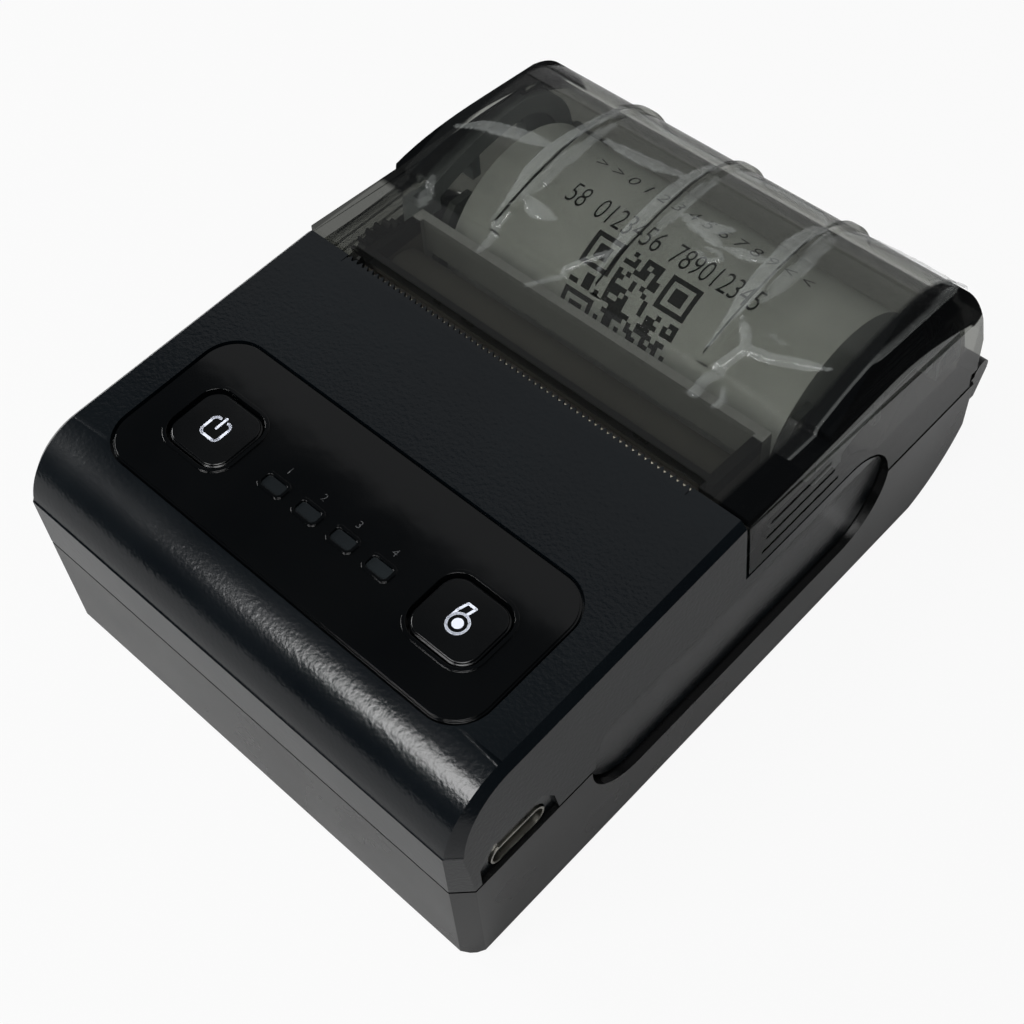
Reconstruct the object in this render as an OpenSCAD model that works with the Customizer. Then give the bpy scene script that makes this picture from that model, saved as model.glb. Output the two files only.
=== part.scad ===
// Pocket thermal receipt printer for 57.5 mm rolls.
// The front face lies at -Y, the hinge at +Y, the table at Z = 0.
// Lengths marked "from the front" are measured from the front face toward the hinge.

/* [Case] */
// room between the gear train and the side wall
side_room = 1; // [0.9:0.1:1.2]
// room between the paper bay and the rear wall
rear_room = 1.2; // [1:0.1:1.4]
// height of the seam between the two shells
seam_z = 18.6; // [18.5:0.1:18.7]
// wall of the two shells
wall = 2; // [1.8:0.1:2.1]
// chamfer of the upright corners
edge_c = 2.2; // [2:0.1:2.4]
// chamfer round the bottom edge
foot_c = 0.8; // [0.6:0.1:1]
// radius of the rounded front edge of the top
nose_r = 10.5; // [10.4:0.1:10.6]
// height of the axis of that rounding
nose_z = 25.6; // [25.5:0.1:25.7]
// rise of the top from the front edge to the lid, degrees
top_slope = 1.84; // [1.8:0.02:1.9]
// inward lean of the side walls above the seam, degrees
draft = 3.85; // [3.8:0.05:3.9]
// radius of the lower shell's rear curve
stern_r = 18.5; // [18.3:0.1:18.5]
// visible gap between neighbouring shells
gap = 0.4; // [0.35:0.05:0.45]

/* [Thumb scoops] */
// front end of the scoops, from the front
scoop_front = 22.6; // [22:0.2:23]
// rear end of the scoops, from the front
scoop_back = 80.8; // [80.4:0.2:81]
// height of the scoops' lower edge
scoop_low = 9.9; // [9.8:0.1:10]
// height of the scoops' upper edge
scoop_top = 26.5; // [26.4:0.1:26.6]
// depth of the dish
scoop_depth = 1.3; // [1.2:0.1:1.4]

/* [Lid] */
// front edge of the lid, from the front
lid_y = 51.5; // [51.4:0.1:51.6]
// wall of the lid
lid_wall = 1.8; // [1.7:0.1:1.8]
// air between the full roll and the dome
dome_room = 3.4; // [3.3:0.1:3.5]
// radius of the dome in front of the crest
bow_r = 56; // [54:1:58]
// radius of the dome behind the crest
rear_r = 15.7; // [15.6:0.1:15.7]
// radius of the rounded shoulders along the dome
shoulder_r = 11; // [10.5:0.5:11.5]
// fall of the shoulders' lower edge toward the hinge, degrees
shoulder_dip = 4.7; // [4.5:0.1:4.8]
// height of the flat part at the foot of the dome
dip_z = 36.3; // [36.2:0.1:36.4]
// spacing of the three ribs
rib_pitch = 18; // [17.5:0.5:18.5]
// width of a rib
rib_w = 1.2; // [1:0.1:1.4]
// height of a rib
rib_h = 0.6; // [0.5:0.1:0.7]
// thickness of the protective film
film_t = 0.2; // [0.15:0.05:0.2]
// how far the lid opens, degrees
lid_open = 95; // [90:1:95]

/* [Hinge] */
// height of the hinge axis over the seam
hinge_rise = 0.6; // [0.5:0.1:0.7]
// radius of the hinge barrels
barrel_r = 1.6; // [1.5:0.1:1.6]
// radius of the hinge pins
pin_r = 0.75; // [0.7:0.05:0.75]
// width of the hinge ears
ear_w = 3; // [2.8:0.1:3.2]

/* [Control panel] */
// width of the glossy panel
panel_w = 63; // [62:0.5:64]
// front edge of the panel, along the slope from the nose axis
panel_front = -1.2; // [-1.4:0.1:-1]
// depth of the panel, front to rear
panel_d = 23.2; // [23:0.1:23.4]
// corner radius of the panel
panel_r = 5; // [4.5:0.5:5.5]
// thickness of the panel
panel_t = 1.2; // [1.1:0.1:1.3]
// groove round the panel
panel_gap = 0.35; // [0.3:0.05:0.4]
// distance of each button from the middle
button_x = 21.2; // [21:0.1:21.4]
// middle of the buttons, along the slope from the nose axis
button_y = 9.7; // [9.6:0.1:9.8]
// width of a button cap
button_w = 10.2; // [10:0.1:10.4]
// depth of a button cap
button_d = 9.4; // [9.2:0.1:9.6]
// corner radius of a button cap
button_r = 2.6; // [2.4:0.1:2.8]
// gap between a button cap and the panel
button_gap = 0.4; // [0.35:0.05:0.45]
// travel of a button
button_travel = 0.6; // [0.5:0.1:0.6]
// spacing of the four status lights
light_pitch = 6.1; // [6:0.1:6.2]
// middle of the lights, along the slope from the nose axis
light_y = 8.6; // [8.5:0.1:8.7]
// width of a light window
light_w = 3.4; // [3.2:0.1:3.6]
// depth of a light window
light_d = 1.8; // [1.7:0.1:1.9]

/* [Paper] */
// width of the paper
paper_w = 57.5; // [57:0.5:58]
// radius of the paper roll
roll_r = 16; // [15.6:0.1:16]
// room between the full roll and the platen carrier
roll_room = 1.6; // [1.5:0.1:1.7]
// outer radius of the core tube
core_r = 8.2; // [8:0.1:8.4]
// bore radius of the core tube
core_bore = 6.35; // [6.2:0.05:6.5]
// modelled thickness of the paper web
web_t = 0.12; // [0.1:0.01:0.12]

/* [Platen and head] */
// distance from the lid's front edge to the paper in the nip
nip_step = 2.13; // [2.1:0.01:2.2]
// height of the platen's axis
platen_z = 27.8; // [27.7:0.1:27.8]
// radius of the rubber sleeve
platen_r = 4.6; // [4.5:0.05:4.6]
// radius of the platen shaft
shaft_r = 1.5; // [1.4:0.1:1.5]
// radius of the platen bushes
bush_r = 2.6; // [2.5:0.1:2.6]
// clearance on each side of the paper in the nip
nip = 0.05; // [0.04:0.01:0.06]
// thickness of the ceramic head strip
head_t = 1; // [0.9:0.1:1]

/* [Gears] */
// module of the gear train
mod = 0.5; // [0.49:0.01:0.5]
// teeth of the platen gear
platen_teeth = 24; // [24:24]
// teeth of the small wheel of the reduction gear
small_teeth = 15; // [15:15]
// teeth of the large wheel of the reduction gear
large_teeth = 30; // [30:30]
// teeth of the motor pinion
pinion_teeth = 12; // [12:12]
// play between flanks
backlash = 0.12; // [0.1:0.01:0.14]
// face width of every wheel
face_w = 1.5; // [1.4:0.1:1.5]

/* [Power] */
// height of the battery pack
pack_h = 10; // [9:0.5:10]
// play round the battery pack in its well
pack_play = 0.4; // [0.3:0.1:0.5]
// length of the battery door
door_l = 75.5; // [75:0.5:76]
// thickness of the battery door
door_t = 1.2; // [1.1:0.1:1.2]
// how far the battery door slides
door_travel = 8; // [7:1:8]
// middle of the charging socket, from the front
usb_y = 9.8; // [9.6:0.1:10]
// width of the charging socket's metal shell
usb_w = 8.94; // [8.9:0.02:8.98]
// height of the charging socket's metal shell
usb_h = 3.26; // [3.22:0.02:3.3]

/* [Hidden] */
paper_x = paper_w / 2;
platen_l = paper_w - 0.5;
cheek_x = platen_l / 2 + 0.4;
bay_x = paper_x + 0.65;
bay_t = 1.2;
frame_x = bay_x + bay_t + 0.3;
frame_t = 1.2;
gear_x1 = frame_x + frame_t + 0.4;
gear_x2 = gear_x1 + face_w + 0.3;
post_end = gear_x2 + face_w + 0.4;
hw = post_end - 0.2 + side_room + wall;
slot_half = paper_x + 1.25;
inner_x = hw - wall;

web_y = lid_y + nip_step;
platen_y = web_y + web_t + nip + platen_r;
head_y = web_y - nip;
carrier_y1 = platen_y - 4.5;
carrier_y2 = platen_y + 7;
dome_foot_y = carrier_y2 + 2.1;
roll_y = carrier_y2 + roll_room + roll_r;
bay_inner = roll_r + 0.3;
bay_outer = bay_inner + 0.9;
case_l = roll_y + bay_outer + rear_room + wall;
total_l = case_l + barrel_r;
crest_y = case_l - rear_r;
hinge_y = case_l;

floor_z = 1.8;
floor_top = 3.2;
ground_gap = 0.3;
roll_z = floor_top + 0.8 + roll_r;
crest_z = roll_z + roll_r + dome_room + lid_wall;
hinge_z = seam_z + hinge_rise;
board_t = 1.6;
board_top = seam_z + 0.4;
board_z = board_top - board_t;
usb_z = board_top + usb_h / 2;
usb_wall = 0.3;
usb_x = hw - 7.8;
usb_back = 0.4;
usb_base = 1.4;
lean = tan(draft);
scoop_r = (scoop_top - scoop_low) / 2;
scoop_z = (scoop_top + scoop_low) / 2;
lid_edge_z = nose_z + nose_r + (lid_y - nose_r) * tan(top_slope);
shoulder_y = lid_y - 0.9;
shoulder_z = lid_edge_z - 1.45;
shoulder_x = hw - (lid_edge_z - seam_z) * lean;

knuckle_x = hw - 0.4 - ear_w;
lid_knuckle = 4.4;
slot_back = 1.4;

opening_dir = [platen_z - hinge_z, hinge_y - platen_y];
opening_len = norm(opening_dir);
mesh_slack = 0.12;
stage_1 = mod * (platen_teeth + small_teeth) / 2 + mesh_slack;
reduction_y = platen_y - stage_1 * opening_dir[0] / opening_len;
reduction_z = platen_z - stage_1 * opening_dir[1] / opening_len;
stage_2 = mod * (large_teeth + pinion_teeth) / 2 + mesh_slack;
motor_dir = 224.5;
motor_y = reduction_y + stage_2 * cos(motor_dir);
motor_z = reduction_z + stage_2 * sin(motor_dir);
motor_r = 6.8;
notch_lean = atan(opening_dir[0] / opening_dir[1]);

key_board_top = -9;
key_board_t = 1.2;
key_board_y = 3;
key_board_d = 13;
key_edge = 1.4;
switch_w = 6.2;
switch_h = 3.2;
guide_rim = 0.7;
guide_t = 0.8;
guide_drop = 2;
screw_hole = 0.9;
flange_top = -2.3;
plunger_top = -4.9;

post_x = hw - 6;
post_r = 2.2;
key_x = post_x - 4.4;
screw_spots = [[post_x, 24], [hw - 5.2, roll_y - 9]];
door_w = 2 * (post_x - post_r - 1.8);
box_t = 0.8;
box_x = door_w / 2 - 3.6;
box_y1 = 7;
box_y2 = motor_y - motor_r - box_t - 0.55;
pack_z = 2;
pack_top = pack_z + pack_h;
board_x = frame_x - 0.3;
board_y1 = wall + 1.4;
board_y2 = box_y2 - 0.2;
board_spots = [[frame_x - 2.2, board_y1 + 4.6], [frame_x - 2.2, board_y2 - 4.6]];
frame_front = lid_y - 4.3;
frame_spots = [[-12, frame_front - 2.15], [24, frame_front - 2.15]];
cable_t = 0.2;
cable_x = 9;

// The whole part is drawn from the front face and moved to the middle.
module placed() { translate([0, -total_l / 2, 0]) children(); }

// Sheets drawn in the side view, front view and plan.
module side_view(x0, x1) {
    translate([x0, 0, 0]) rotate([90, 0, 90]) linear_extrude(x1 - x0) children();
}
module front_view(y0, y1) {
    translate([0, y1, 0]) rotate([90, 0, 0]) linear_extrude(y1 - y0) children();
}
module plan(z0, z1) { translate([0, 0, z0]) linear_extrude(z1 - z0) children(); }
module both() { children(); mirror([1, 0, 0]) children(); }
module drum(x0, x1, y, z, r) {
    translate([x0, y, z]) rotate([0, 90, 0]) cylinder(r = r, h = x1 - x0, $fn = 64);
}
module post(x, y, z0, z1, r) { translate([x, y, z0]) cylinder(r = r, h = z1 - z0, $fn = 48); }
module rounded(w, d, r) {
    square([w - 2 * r, d], center = true);
    square([w, d - 2 * r], center = true);
    for (x = [-1, 1], y = [-1, 1])
        translate([x * (w / 2 - r), y * (d / 2 - r)]) circle(r = r, $fn = 48);
}
module slab(x, y, z, w, d, h) { translate([x - w / 2, y - d / 2, z]) cube([w, d, h]); }
module hinge_side(x0, x1, r) { drum(x0, x1, hinge_y, hinge_z, r); }

// Frame of the sloping top: X across, Y up the slope from the nose axis, Z out of the top.
module on_top() {
    translate([0, nose_r, nose_z]) rotate([top_slope, 0, 0]) translate([0, 0, nose_r]) children();
}

function corner(o) = edge_c - 0.586 * o;

// Outline of the case in plan, o inside the outer face.
module plan_outline(o, c) {
    a = hw - o;
    f = o;
    b = case_l - o;
    polygon([[-a + c, f], [a - c, f], [a, f + c], [a, b - c], [a - c, b],
        [-a + c, b], [-a, b - c], [-a, f + c]]);
}

// Leaning side walls above the seam, upright ones below.
module wedge(o) {
    a = hw - o;
    up = 60 - seam_z;
    front_view(-1, total_l + 1)
        polygon([[-a, -1], [a, -1], [a, seam_z], [a - up * lean, 60], [-a + up * lean, 60],
            [-a, seam_z]]);
}

// Front of the case with its rounded top edge, o inside the outer face.
module front_form(o) {
    c = corner(o);
    a = hw - o;
    r = nose_r - o;
    intersection() {
        union() {
            translate([0, nose_r, nose_z]) rotate([0, 90, 0]) {
                cylinder(r = r, h = 2 * (a - c), center = true, $fn = 96);
                translate([0, 0, a - c]) cylinder(r1 = r, r2 = r - c, h = c, $fn = 96);
                translate([0, 0, c - a]) mirror([0, 0, 1])
                    cylinder(r1 = r, r2 = r - c, h = c, $fn = 96);
            }
            plan(scoop_low - 2, nose_z) plan_outline(o, c);
            translate([0, nose_r, nose_z]) rotate([top_slope, 0, 0]) front_view(0, lid_y + 2)
                polygon([[-a, -8], [a, -8], [a, r - c], [a - c, r], [c - a, r], [-a, r - c]]);
        }
        wedge(o);
    }
}

module scoop_outline(grow) {
    r = scoop_r + grow;
    y0 = scoop_front + scoop_r;
    y1 = scoop_back - scoop_r;
    for (y = [y0, y1]) translate([y, scoop_z]) circle(r = r, $fn = 64);
    translate([y0, scoop_z - r]) square([y1 - y0, 2 * r]);
}

// Profile of the lid seen from the side, o inside the outer face.
module lid_profile(o) {
    low = 5;
    translate([crest_y, crest_z - rear_r]) circle(r = rear_r - o, $fn = 96);
    translate([crest_y - 4, low]) square([case_l - o - crest_y + 4, crest_z - rear_r - low]);
    intersection() {
        translate([crest_y, crest_z - bow_r]) circle(r = bow_r - o, $fn = 96);
        translate([dome_foot_y + o * 0.5, low]) square([crest_y - dome_foot_y - o * 0.5, 60]);
    }
    polygon([[lid_y - 4, low], [crest_y - 2, low], [crest_y - 2, dip_z - o - 1],
        [dome_foot_y, dip_z - o], [lid_y - 4, lid_edge_z - o + 0.1]]);
}

// Rounded shoulders of the lid, falling toward the hinge, o inside the outer face.
module shoulders(o) {
    x = shoulder_x - shoulder_r;
    translate([0, shoulder_y, shoulder_z]) rotate([-shoulder_dip, 0, 0]) front_view(-20, total_l) {
        translate([-hw - 1, -60]) square([2 * hw + 2, 60]);
        translate([-x, -1]) square([2 * x, shoulder_r - o + 1]);
        for (s = [-1, 1]) translate([s * x, 0]) circle(r = shoulder_r - o, $fn = 96);
    }
}

// Round rim where the dome comes down to the hinge, o inside the outer face.
module rear_rim(o) {
    translate([-hw, 0, 0]) cube([2 * hw, crest_y + 2.3, 60]);
    translate([0, crest_y + 2.3, seam_z + 2.9]) rotate([0, 90, 0]) rotate_extrude($fn = 96)
        polygon([[0, o - hw], [12 - o, o - hw], [19 - o, o + 4.5 - hw], [22, o + 4.5 - hw],
            [22, hw - 4.5 - o], [19 - o, hw - 4.5 - o], [12 - o, hw - o], [0, hw - o]]);
}

module lid_form(o) {
    intersection() {
        side_view(-hw, hw) lid_profile(o);
        wedge(o);
        shoulders(o);
        plan(4, 60) plan_outline(o, corner(o));
        rear_rim(o);
    }
}

// Region of the side view that belongs to the lid.
module lid_region() {
    difference() {
        translate([lid_y, seam_z + gap]) square([total_l, 60]);
        scoop_outline(gap);
        translate([lid_y - 1, 0]) square([scoop_back - scoop_r - lid_y + 1, scoop_top + gap]);
    }
}

module upper_region() {
    translate([-1, seam_z + gap / 2]) square([lid_y - gap - 0.2 + 1, 60]);
    scoop_outline(0);
}

// Involute wheel drawn in the side view with one tooth along the angle a0.
function roll_at(r, rb) = r <= rb ? 0 : sqrt(pow(r / rb, 2) - 1);
function lead(r, rb) = roll_at(r, rb) * 180 / PI - atan(roll_at(r, rb));
function wheel_points(z, a0) =
    let (rp = mod * z / 2, rb = rp * cos(20), ra = rp + mod * 0.95, rf = rp - mod * 1.25,
        half = 90 / z - backlash / rp * 90 / PI + lead(rp, rb),
        steps = [max(rb, rf), (max(rb, rf) * 2 + ra) / 3, (max(rb, rf) + 2 * ra) / 3, ra])
    [for (i = [0:z - 1]) let (a = a0 + i * 360 / z) each concat(
        [[rf * cos(a - half), rf * sin(a - half)]],
        [for (r = steps) let (t = a - half + lead(r, rb)) [r * cos(t), r * sin(t)]],
        [for (k = [3:-1:0]) let (r = steps[k], t = a + half - lead(r, rb))
            [r * cos(t), r * sin(t)]],
        [[rf * cos(a + half), rf * sin(a + half)]])];
module wheel(x0, y, z, teeth, a0, bore) {
    translate([0, y, z]) side_view(x0 - face_w, x0) difference() {
        polygon(wheel_points(teeth, a0));
        circle(r = bore, $fn = 48);
    }
}

// LOWER SHELL
module tub_profile(o) {
    intersection() {
        translate([o, o == 0 ? 0 : floor_top]) square([case_l - 2 * o, 60]);
        union() {
            square([case_l - stern_r, 60]);
            translate([case_l - stern_r, stern_r]) circle(r = stern_r - o, $fn = 96);
            translate([case_l - stern_r, stern_r]) square([stern_r - o, 40]);
        }
    }
}

// Everything of the lower shell outside its openings.
module tub_body() {
    top = seam_z - gap / 2;
    difference() {
        intersection() {
            side_view(-hw, hw) tub_profile(0);
            plan(0, top) plan_outline(0, edge_c);
            front_view(-1, case_l + 1)
                polygon([[foot_c - hw, 0], [hw - foot_c, 0], [hw, foot_c], [hw, 40],
                    [-hw, 40], [-hw, foot_c]]);
            side_view(-hw, hw)
                polygon([[foot_c, 0], [case_l, 0], [case_l, 40], [0, 40], [0, foot_c]]);
        }
        intersection() {
            side_view(wall - hw, hw - wall) tub_profile(wall);
            plan(0, 40) plan_outline(wall, corner(wall));
        }
    }
    // lip that centres the upper shell
    intersection() {
        plan(top - 1, top + 0.8) difference() {
            plan_outline(wall - 0.8, corner(wall - 0.8));
            plan_outline(wall, corner(wall));
        }
        translate([-hw, 0, 0]) cube([case_w, scoop_front - 1, 40]);
    }
    // box round the battery pack
    translate([-box_x - box_t, box_y1 - box_t, floor_z])
        cube([2 * (box_x + box_t), box_y2 - box_y1 + 2 * box_t, pack_top + box_t - floor_z]);
    both() {
        for (s = screw_spots) post(s[0], s[1], floor_z, 17, post_r);
        for (s = board_spots) post(s[0], s[1], floor_z, board_z, 1.6);
        // ear of the hinge
        hinge_side(knuckle_x, knuckle_x + ear_w, barrel_r);
        side_view(knuckle_x, knuckle_x + ear_w)
            polygon([[hinge_y - 4, seam_z - gap / 2], [hinge_y - 2, seam_z - 4.6],
                [hinge_y - 0.3, seam_z - 4.6], [hinge_y + barrel_r, hinge_z - 0.6],
                [hinge_y, hinge_z], [hinge_y - 1, hinge_z]]);
    }
    for (s = frame_spots) post(s[0], s[1], floor_z, seam_z - 0.3, 2.2);
}

module lower_shell() color([0.05, 0.05, 0.055]) placed() difference() {
    tub_body();
    // battery well, open toward the table
    translate([-box_x, box_y1, -1]) cube([2 * box_x, box_y2 - box_y1, pack_top + 1]);
    translate([-5, box_y2 - 3.4, 5]) cube([10, 2.4, 20]);
    // channel of the sliding door
    slab(0, 6 + case_l / 2, -1, door_w + 0.8, case_l, floor_z + 1);
    slab(0, 6 + case_l / 2, 0.6, door_w + 3.2, case_l, floor_z - 0.6);
    both() {
        side_view(hw - 3, hw + 1) scoop_outline(0.5);
        hinge_side(knuckle_x - 3, knuckle_x + ear_w - 0.8, pin_r + 0.01);
        hinge_side(knuckle_x - lid_knuckle - 2 * gap, knuckle_x, barrel_r + gap);
        for (s = screw_spots) {
            post(s[0], s[1], -1, 18, 1.15);
            post(s[0], s[1], -1, 4.2, 2);
        }
        for (s = board_spots) post(s[0], s[1], 6, 18, 0.81);
    }
    for (s = frame_spots) post(s[0], s[1], 8, 20, 1.01);
    // room for the charging socket over the lip
    translate([hw - 9, usb_y - 6.6, seam_z - gap / 2]) cube([10, 13.2, 5]);
}

// UPPER SHELL
module usb_outline(w, h) {
    r = h / 2;
    translate([usb_y, usb_z]) {
        square([w - h, h], center = true);
        for (s = [-1, 1]) translate([s * (w - h) / 2, 0]) circle(r = r, $fn = 48);
    }
}
module button_spots() {
    for (s = [-1, 1]) translate([s * button_x, button_y]) children();
}
module light_spots() {
    for (i = [-1.5:1:1.5]) translate([i * light_pitch, light_y]) children();
}
module panel_place() translate([0, panel_front + panel_d / 2]) children();

module upper_body() {
    difference() {
        intersection() {
            union() {
                front_form(0);
                intersection() {
                    plan(scoop_low - 1, scoop_top + 1) plan_outline(0, edge_c);
                    wedge(0);
                }
            }
            side_view(-hw, hw) upper_region();
        }
        front_form(wall);
        intersection() {
            plan(0, 30) plan_outline(wall, corner(wall));
            wedge(wall);
        }
        // rabbet over the lip of the lower shell
        intersection() {
            plan(10, seam_z + 0.8) plan_outline(wall - 0.9, corner(wall - 0.9));
            translate([-hw, 0, 0]) cube([case_w, scoop_front - 0.6, 40]);
        }
    }
    both() {
        // thicker wall behind the dished scoop
        difference() {
            side_view(hw - 2.4, hw - 1.6) scoop_outline(0);
            translate([hw - 9, 0, seam_z]) cube([10, scoop_front + 1, 10]);
        }
        post(screw_spots[0][0], screw_spots[0][1], 17, nose_z + nose_r - 1.4, 2.4);
        post(screw_spots[1][0], screw_spots[1][1], 17, scoop_top - 1, 2.6);
    }
    // rear flange under the tear bar
    translate([4 - hw, lid_y - gap - 2, lid_edge_z - 3.6]) cube([2 * hw - 8, 1.2, 2.4]);
    on_top() for (s = [-1, 1]) translate([s * key_x, button_y, key_board_top])
        cylinder(r = 1.4, h = -key_board_top - 1, $fn = 32);
}

module upper_shell() color([0.045, 0.045, 0.05]) placed() difference() {
    upper_body();
    both() {
        // dish of the thumb scoop
        intersection() {
            side_view(hw - 9, hw + 1) scoop_outline(0);
            translate([hw - scoop_depth + 64, 0, 14.2]) rotate([-90, 0, 0])
                cylinder(r = 64, h = case_l, $fn = 128);
        }
        post(screw_spots[0][0], screw_spots[0][1], 16, 25.5, 1.01);
        post(screw_spots[1][0], screw_spots[1][1], 16, 24.5, 1.01);
    }
    // seat of the tear bar
    translate([-slot_half + 0.4, lid_y - 2, lid_edge_z - 1.3])
        cube([2 * slot_half - 0.8, 3, 3]);
    // charging socket
    side_view(hw - 6, hw + 1) usb_outline(usb_w + 0.46, usb_h + 0.44);
    side_view(hw - 0.75, hw + 1)
        polygon([[usb_y - 6.6, seam_z - 1], [usb_y - 6.4, 22], [usb_y - 4.6, 24.4],
            [usb_y + 4.2, 24.4], [usb_y + 6, 22], [usb_y + 6.6, seam_z - 1]]);
    on_top() {
        translate([0, 0, -panel_t]) linear_extrude(5) panel_place()
            rounded(panel_w + 2 * panel_gap, panel_d + 2 * panel_gap, panel_r + panel_gap);
        translate([0, 0, -6]) linear_extrude(10) {
            button_spots() rounded(button_w + 2 * button_gap, button_d + 2 * button_gap,
                button_r + button_gap);
            light_spots() rounded(light_w + 0.1, light_d + 0.1, 0.6);
        }
        for (s = [-1, 1]) translate([s * key_x, button_y, key_board_top - 1])
            cylinder(r = 0.81, h = 5, $fn = 32);
    }
}

// CONTROL PANEL
module control_panel() color([0.02, 0.02, 0.022]) placed() on_top() {
    rim = 0.25;
    difference() {
        union() {
            translate([0, 0, -panel_t]) linear_extrude(panel_t - rim)
                panel_place() rounded(panel_w, panel_d, panel_r);
            translate([0, 0, -rim]) linear_extrude(rim)
                panel_place() rounded(panel_w - 2 * rim, panel_d - 2 * rim, panel_r - rim);
            linear_extrude(0.2) {
                button_spots() rounded(button_w + 2 * button_gap + 1,
                    button_d + 2 * button_gap + 1, button_r + button_gap + 0.5);
                light_spots() rounded(light_w + 0.9, light_d + 0.9, 0.9);
            }
        }
        translate([0, 0, -panel_t - 1]) linear_extrude(panel_t + 3) {
            button_spots() rounded(button_w + 2 * button_gap, button_d + 2 * button_gap,
                button_r + button_gap);
            light_spots() rounded(light_w + 0.1, light_d + 0.1, 0.6);
        }
    }
}

module button(side) {
    on_top() translate([side * button_x, button_y, 0]) {
        translate([0, 0, flange_top]) linear_extrude(-flange_top - 0.25)
            rounded(button_w, button_d, button_r);
        translate([0, 0, -0.25]) linear_extrude(0.25)
            rounded(button_w - 0.5, button_d - 0.5, button_r - 0.25);
        translate([0, 0, flange_top - 0.8]) linear_extrude(0.8)
            rounded(button_w + 1.8, button_d + 1.8, button_r);
        translate([0, 0, plunger_top]) cylinder(r = 1.5, h = flange_top - plunger_top, $fn = 48);
    }
}
module power_button() color([0.03, 0.03, 0.03]) placed() button(-1);
module feed_button() color([0.03, 0.03, 0.03]) placed() button(1);
module plunger(side) {
    on_top() translate([side * button_x, button_y, -8]) cylinder(r = 1.65, h = 3.1, $fn = 48);
}
module power_plunger() color([0.6, 0.6, 0.58]) placed() plunger(-1);
module feed_plunger() color([0.6, 0.6, 0.58]) placed() plunger(1);

module light_windows() color([0.25, 0.25, 0.25]) placed() on_top() {
    light_spots() {
        translate([0, 0, -7.8]) linear_extrude(7.7) rounded(light_w, light_d, 0.5);
        translate([0, 0, -guide_drop - guide_t]) linear_extrude(guide_t)
            square([light_w + 2 * guide_rim, light_d + 2 * guide_rim], center = true);
    }
}

// CONTROL BOARD UNDER THE PANEL
module key_board() color([0.05, 0.2, 0.1]) placed() on_top() difference() {
    translate([-key_x - key_edge, key_board_y, key_board_top - key_board_t])
        cube([2 * (key_x + key_edge), key_board_d, key_board_t]);
    for (s = [-1, 1]) translate([s * key_x, button_y, key_board_top - 2])
        cylinder(r = screw_hole, h = 3, $fn = 32);
}
module tact_switches() color([0.1, 0.1, 0.1]) placed() on_top() {
    for (s = [-1, 1]) translate([s * button_x, button_y, key_board_top]) difference() {
        translate([-switch_w / 2, -switch_w / 2, 0]) cube([switch_w, switch_w, switch_h]);
        translate([0, 0, 0.1]) cylinder(r = 1.75, h = switch_h + 1, $fn = 48);
    }
}
module status_leds() color([0.8, 0.8, 0.75]) placed() on_top() {
    translate([0, 0, key_board_top]) light_spots() translate([-0.8, -0.4, 0]) cube([1.6, 0.8, 0.7]);
}

// PAPER EXIT
module tear_bar() color([0.1, 0.1, 0.1]) placed() {
    half = slot_half - 0.5;
    back = lid_y - 1.1;
    plan(lid_edge_z - 1.3, lid_edge_z - 0.05) polygon(concat(
        [[-half, lid_y - 2], [half, lid_y - 2], [half, back]],
        [for (i = [0:2 * half - 1]) each [[half - i - 0.1, back], [half - i - 0.5, back + 0.7],
            [half - i - 0.9, back]]],
        [[-half, back]]));
}

// LID
module rib_spots() { for (x = [-rib_pitch, 0, rib_pitch]) translate([x, 0, 0]) children(); }

module dome_band(outer, inner, half, y0, y1, z0) {
    intersection() {
        difference() {
            lid_form(-outer);
            lid_form(-inner);
        }
        side_view(-half, half) translate([y0, z0]) square([y1 - y0, 30]);
    }
}

groove_z = scoop_top + 6.5;
module lid_shell() color([0.16, 0.17, 0.17, 0.55]) placed() difference() {
    union() {
        difference() {
            intersection() {
                lid_form(0);
                side_view(-hw, hw) lid_region();
            }
            lid_form(lid_wall);
        }
        // ribs over the dome
        rib_spots() side_view(-rib_w / 2, rib_w / 2) intersection() {
            difference() {
                lid_profile(-rib_h);
                lid_profile(0.4);
            }
            translate([dome_foot_y + 0.3, 31]) square([60, 30]);
        }
        both() hinge_side(knuckle_x - gap - lid_knuckle, knuckle_x - gap, barrel_r);
    }
    // mouth of the paper slot
    translate([-slot_half, lid_y - 1, lid_edge_z - 4]) cube([2 * slot_half, slot_back + 1, 6]);
    both() {
        hinge_side(knuckle_x - lid_knuckle - 4, knuckle_x + 1, pin_r + 0.06);
        translate([knuckle_x - gap, hinge_y - 3.4, 0])
            cube([hw, 6, hinge_z + barrel_r + gap]);
        // grip grooves
        for (i = [0:2])
            translate([hw - (groove_z - 2.1 * i - seam_z) * lean - 0.45,
                lid_y + 4.1 - 0.85 * i, groove_z - 2.1 * i - 0.25]) cube([2, 11.9 + 1.7 * i, 0.5]);
    }
}

module protective_film() color([0.8, 0.8, 0.8, 0.3]) placed() {
    film_x = hw - 4.2;
    film_y = carrier_y2 - 3.6;
    difference() {
        dome_band(film_t + 0.02, 0.02, film_x, film_y, total_l, 24);
        rib_spots() translate([-rib_w / 2 - 0.25, dome_foot_y - 1, 20])
            cube([rib_w + 0.5, 60, 30]);
    }
    rib_spots() difference() {
        intersection() {
            side_view(-rib_w / 2 - 0.45, rib_w / 2 + 0.45) difference() {
                lid_profile(-rib_h - film_t - 0.02);
                lid_profile(-0.02);
            }
            side_view(-5, 5) translate([dome_foot_y - 1, 24]) square([60, 30]);
        }
        side_view(-rib_w / 2 - 0.2, rib_w / 2 + 0.2) lid_profile(-rib_h - 0.02);
    }
}

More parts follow.
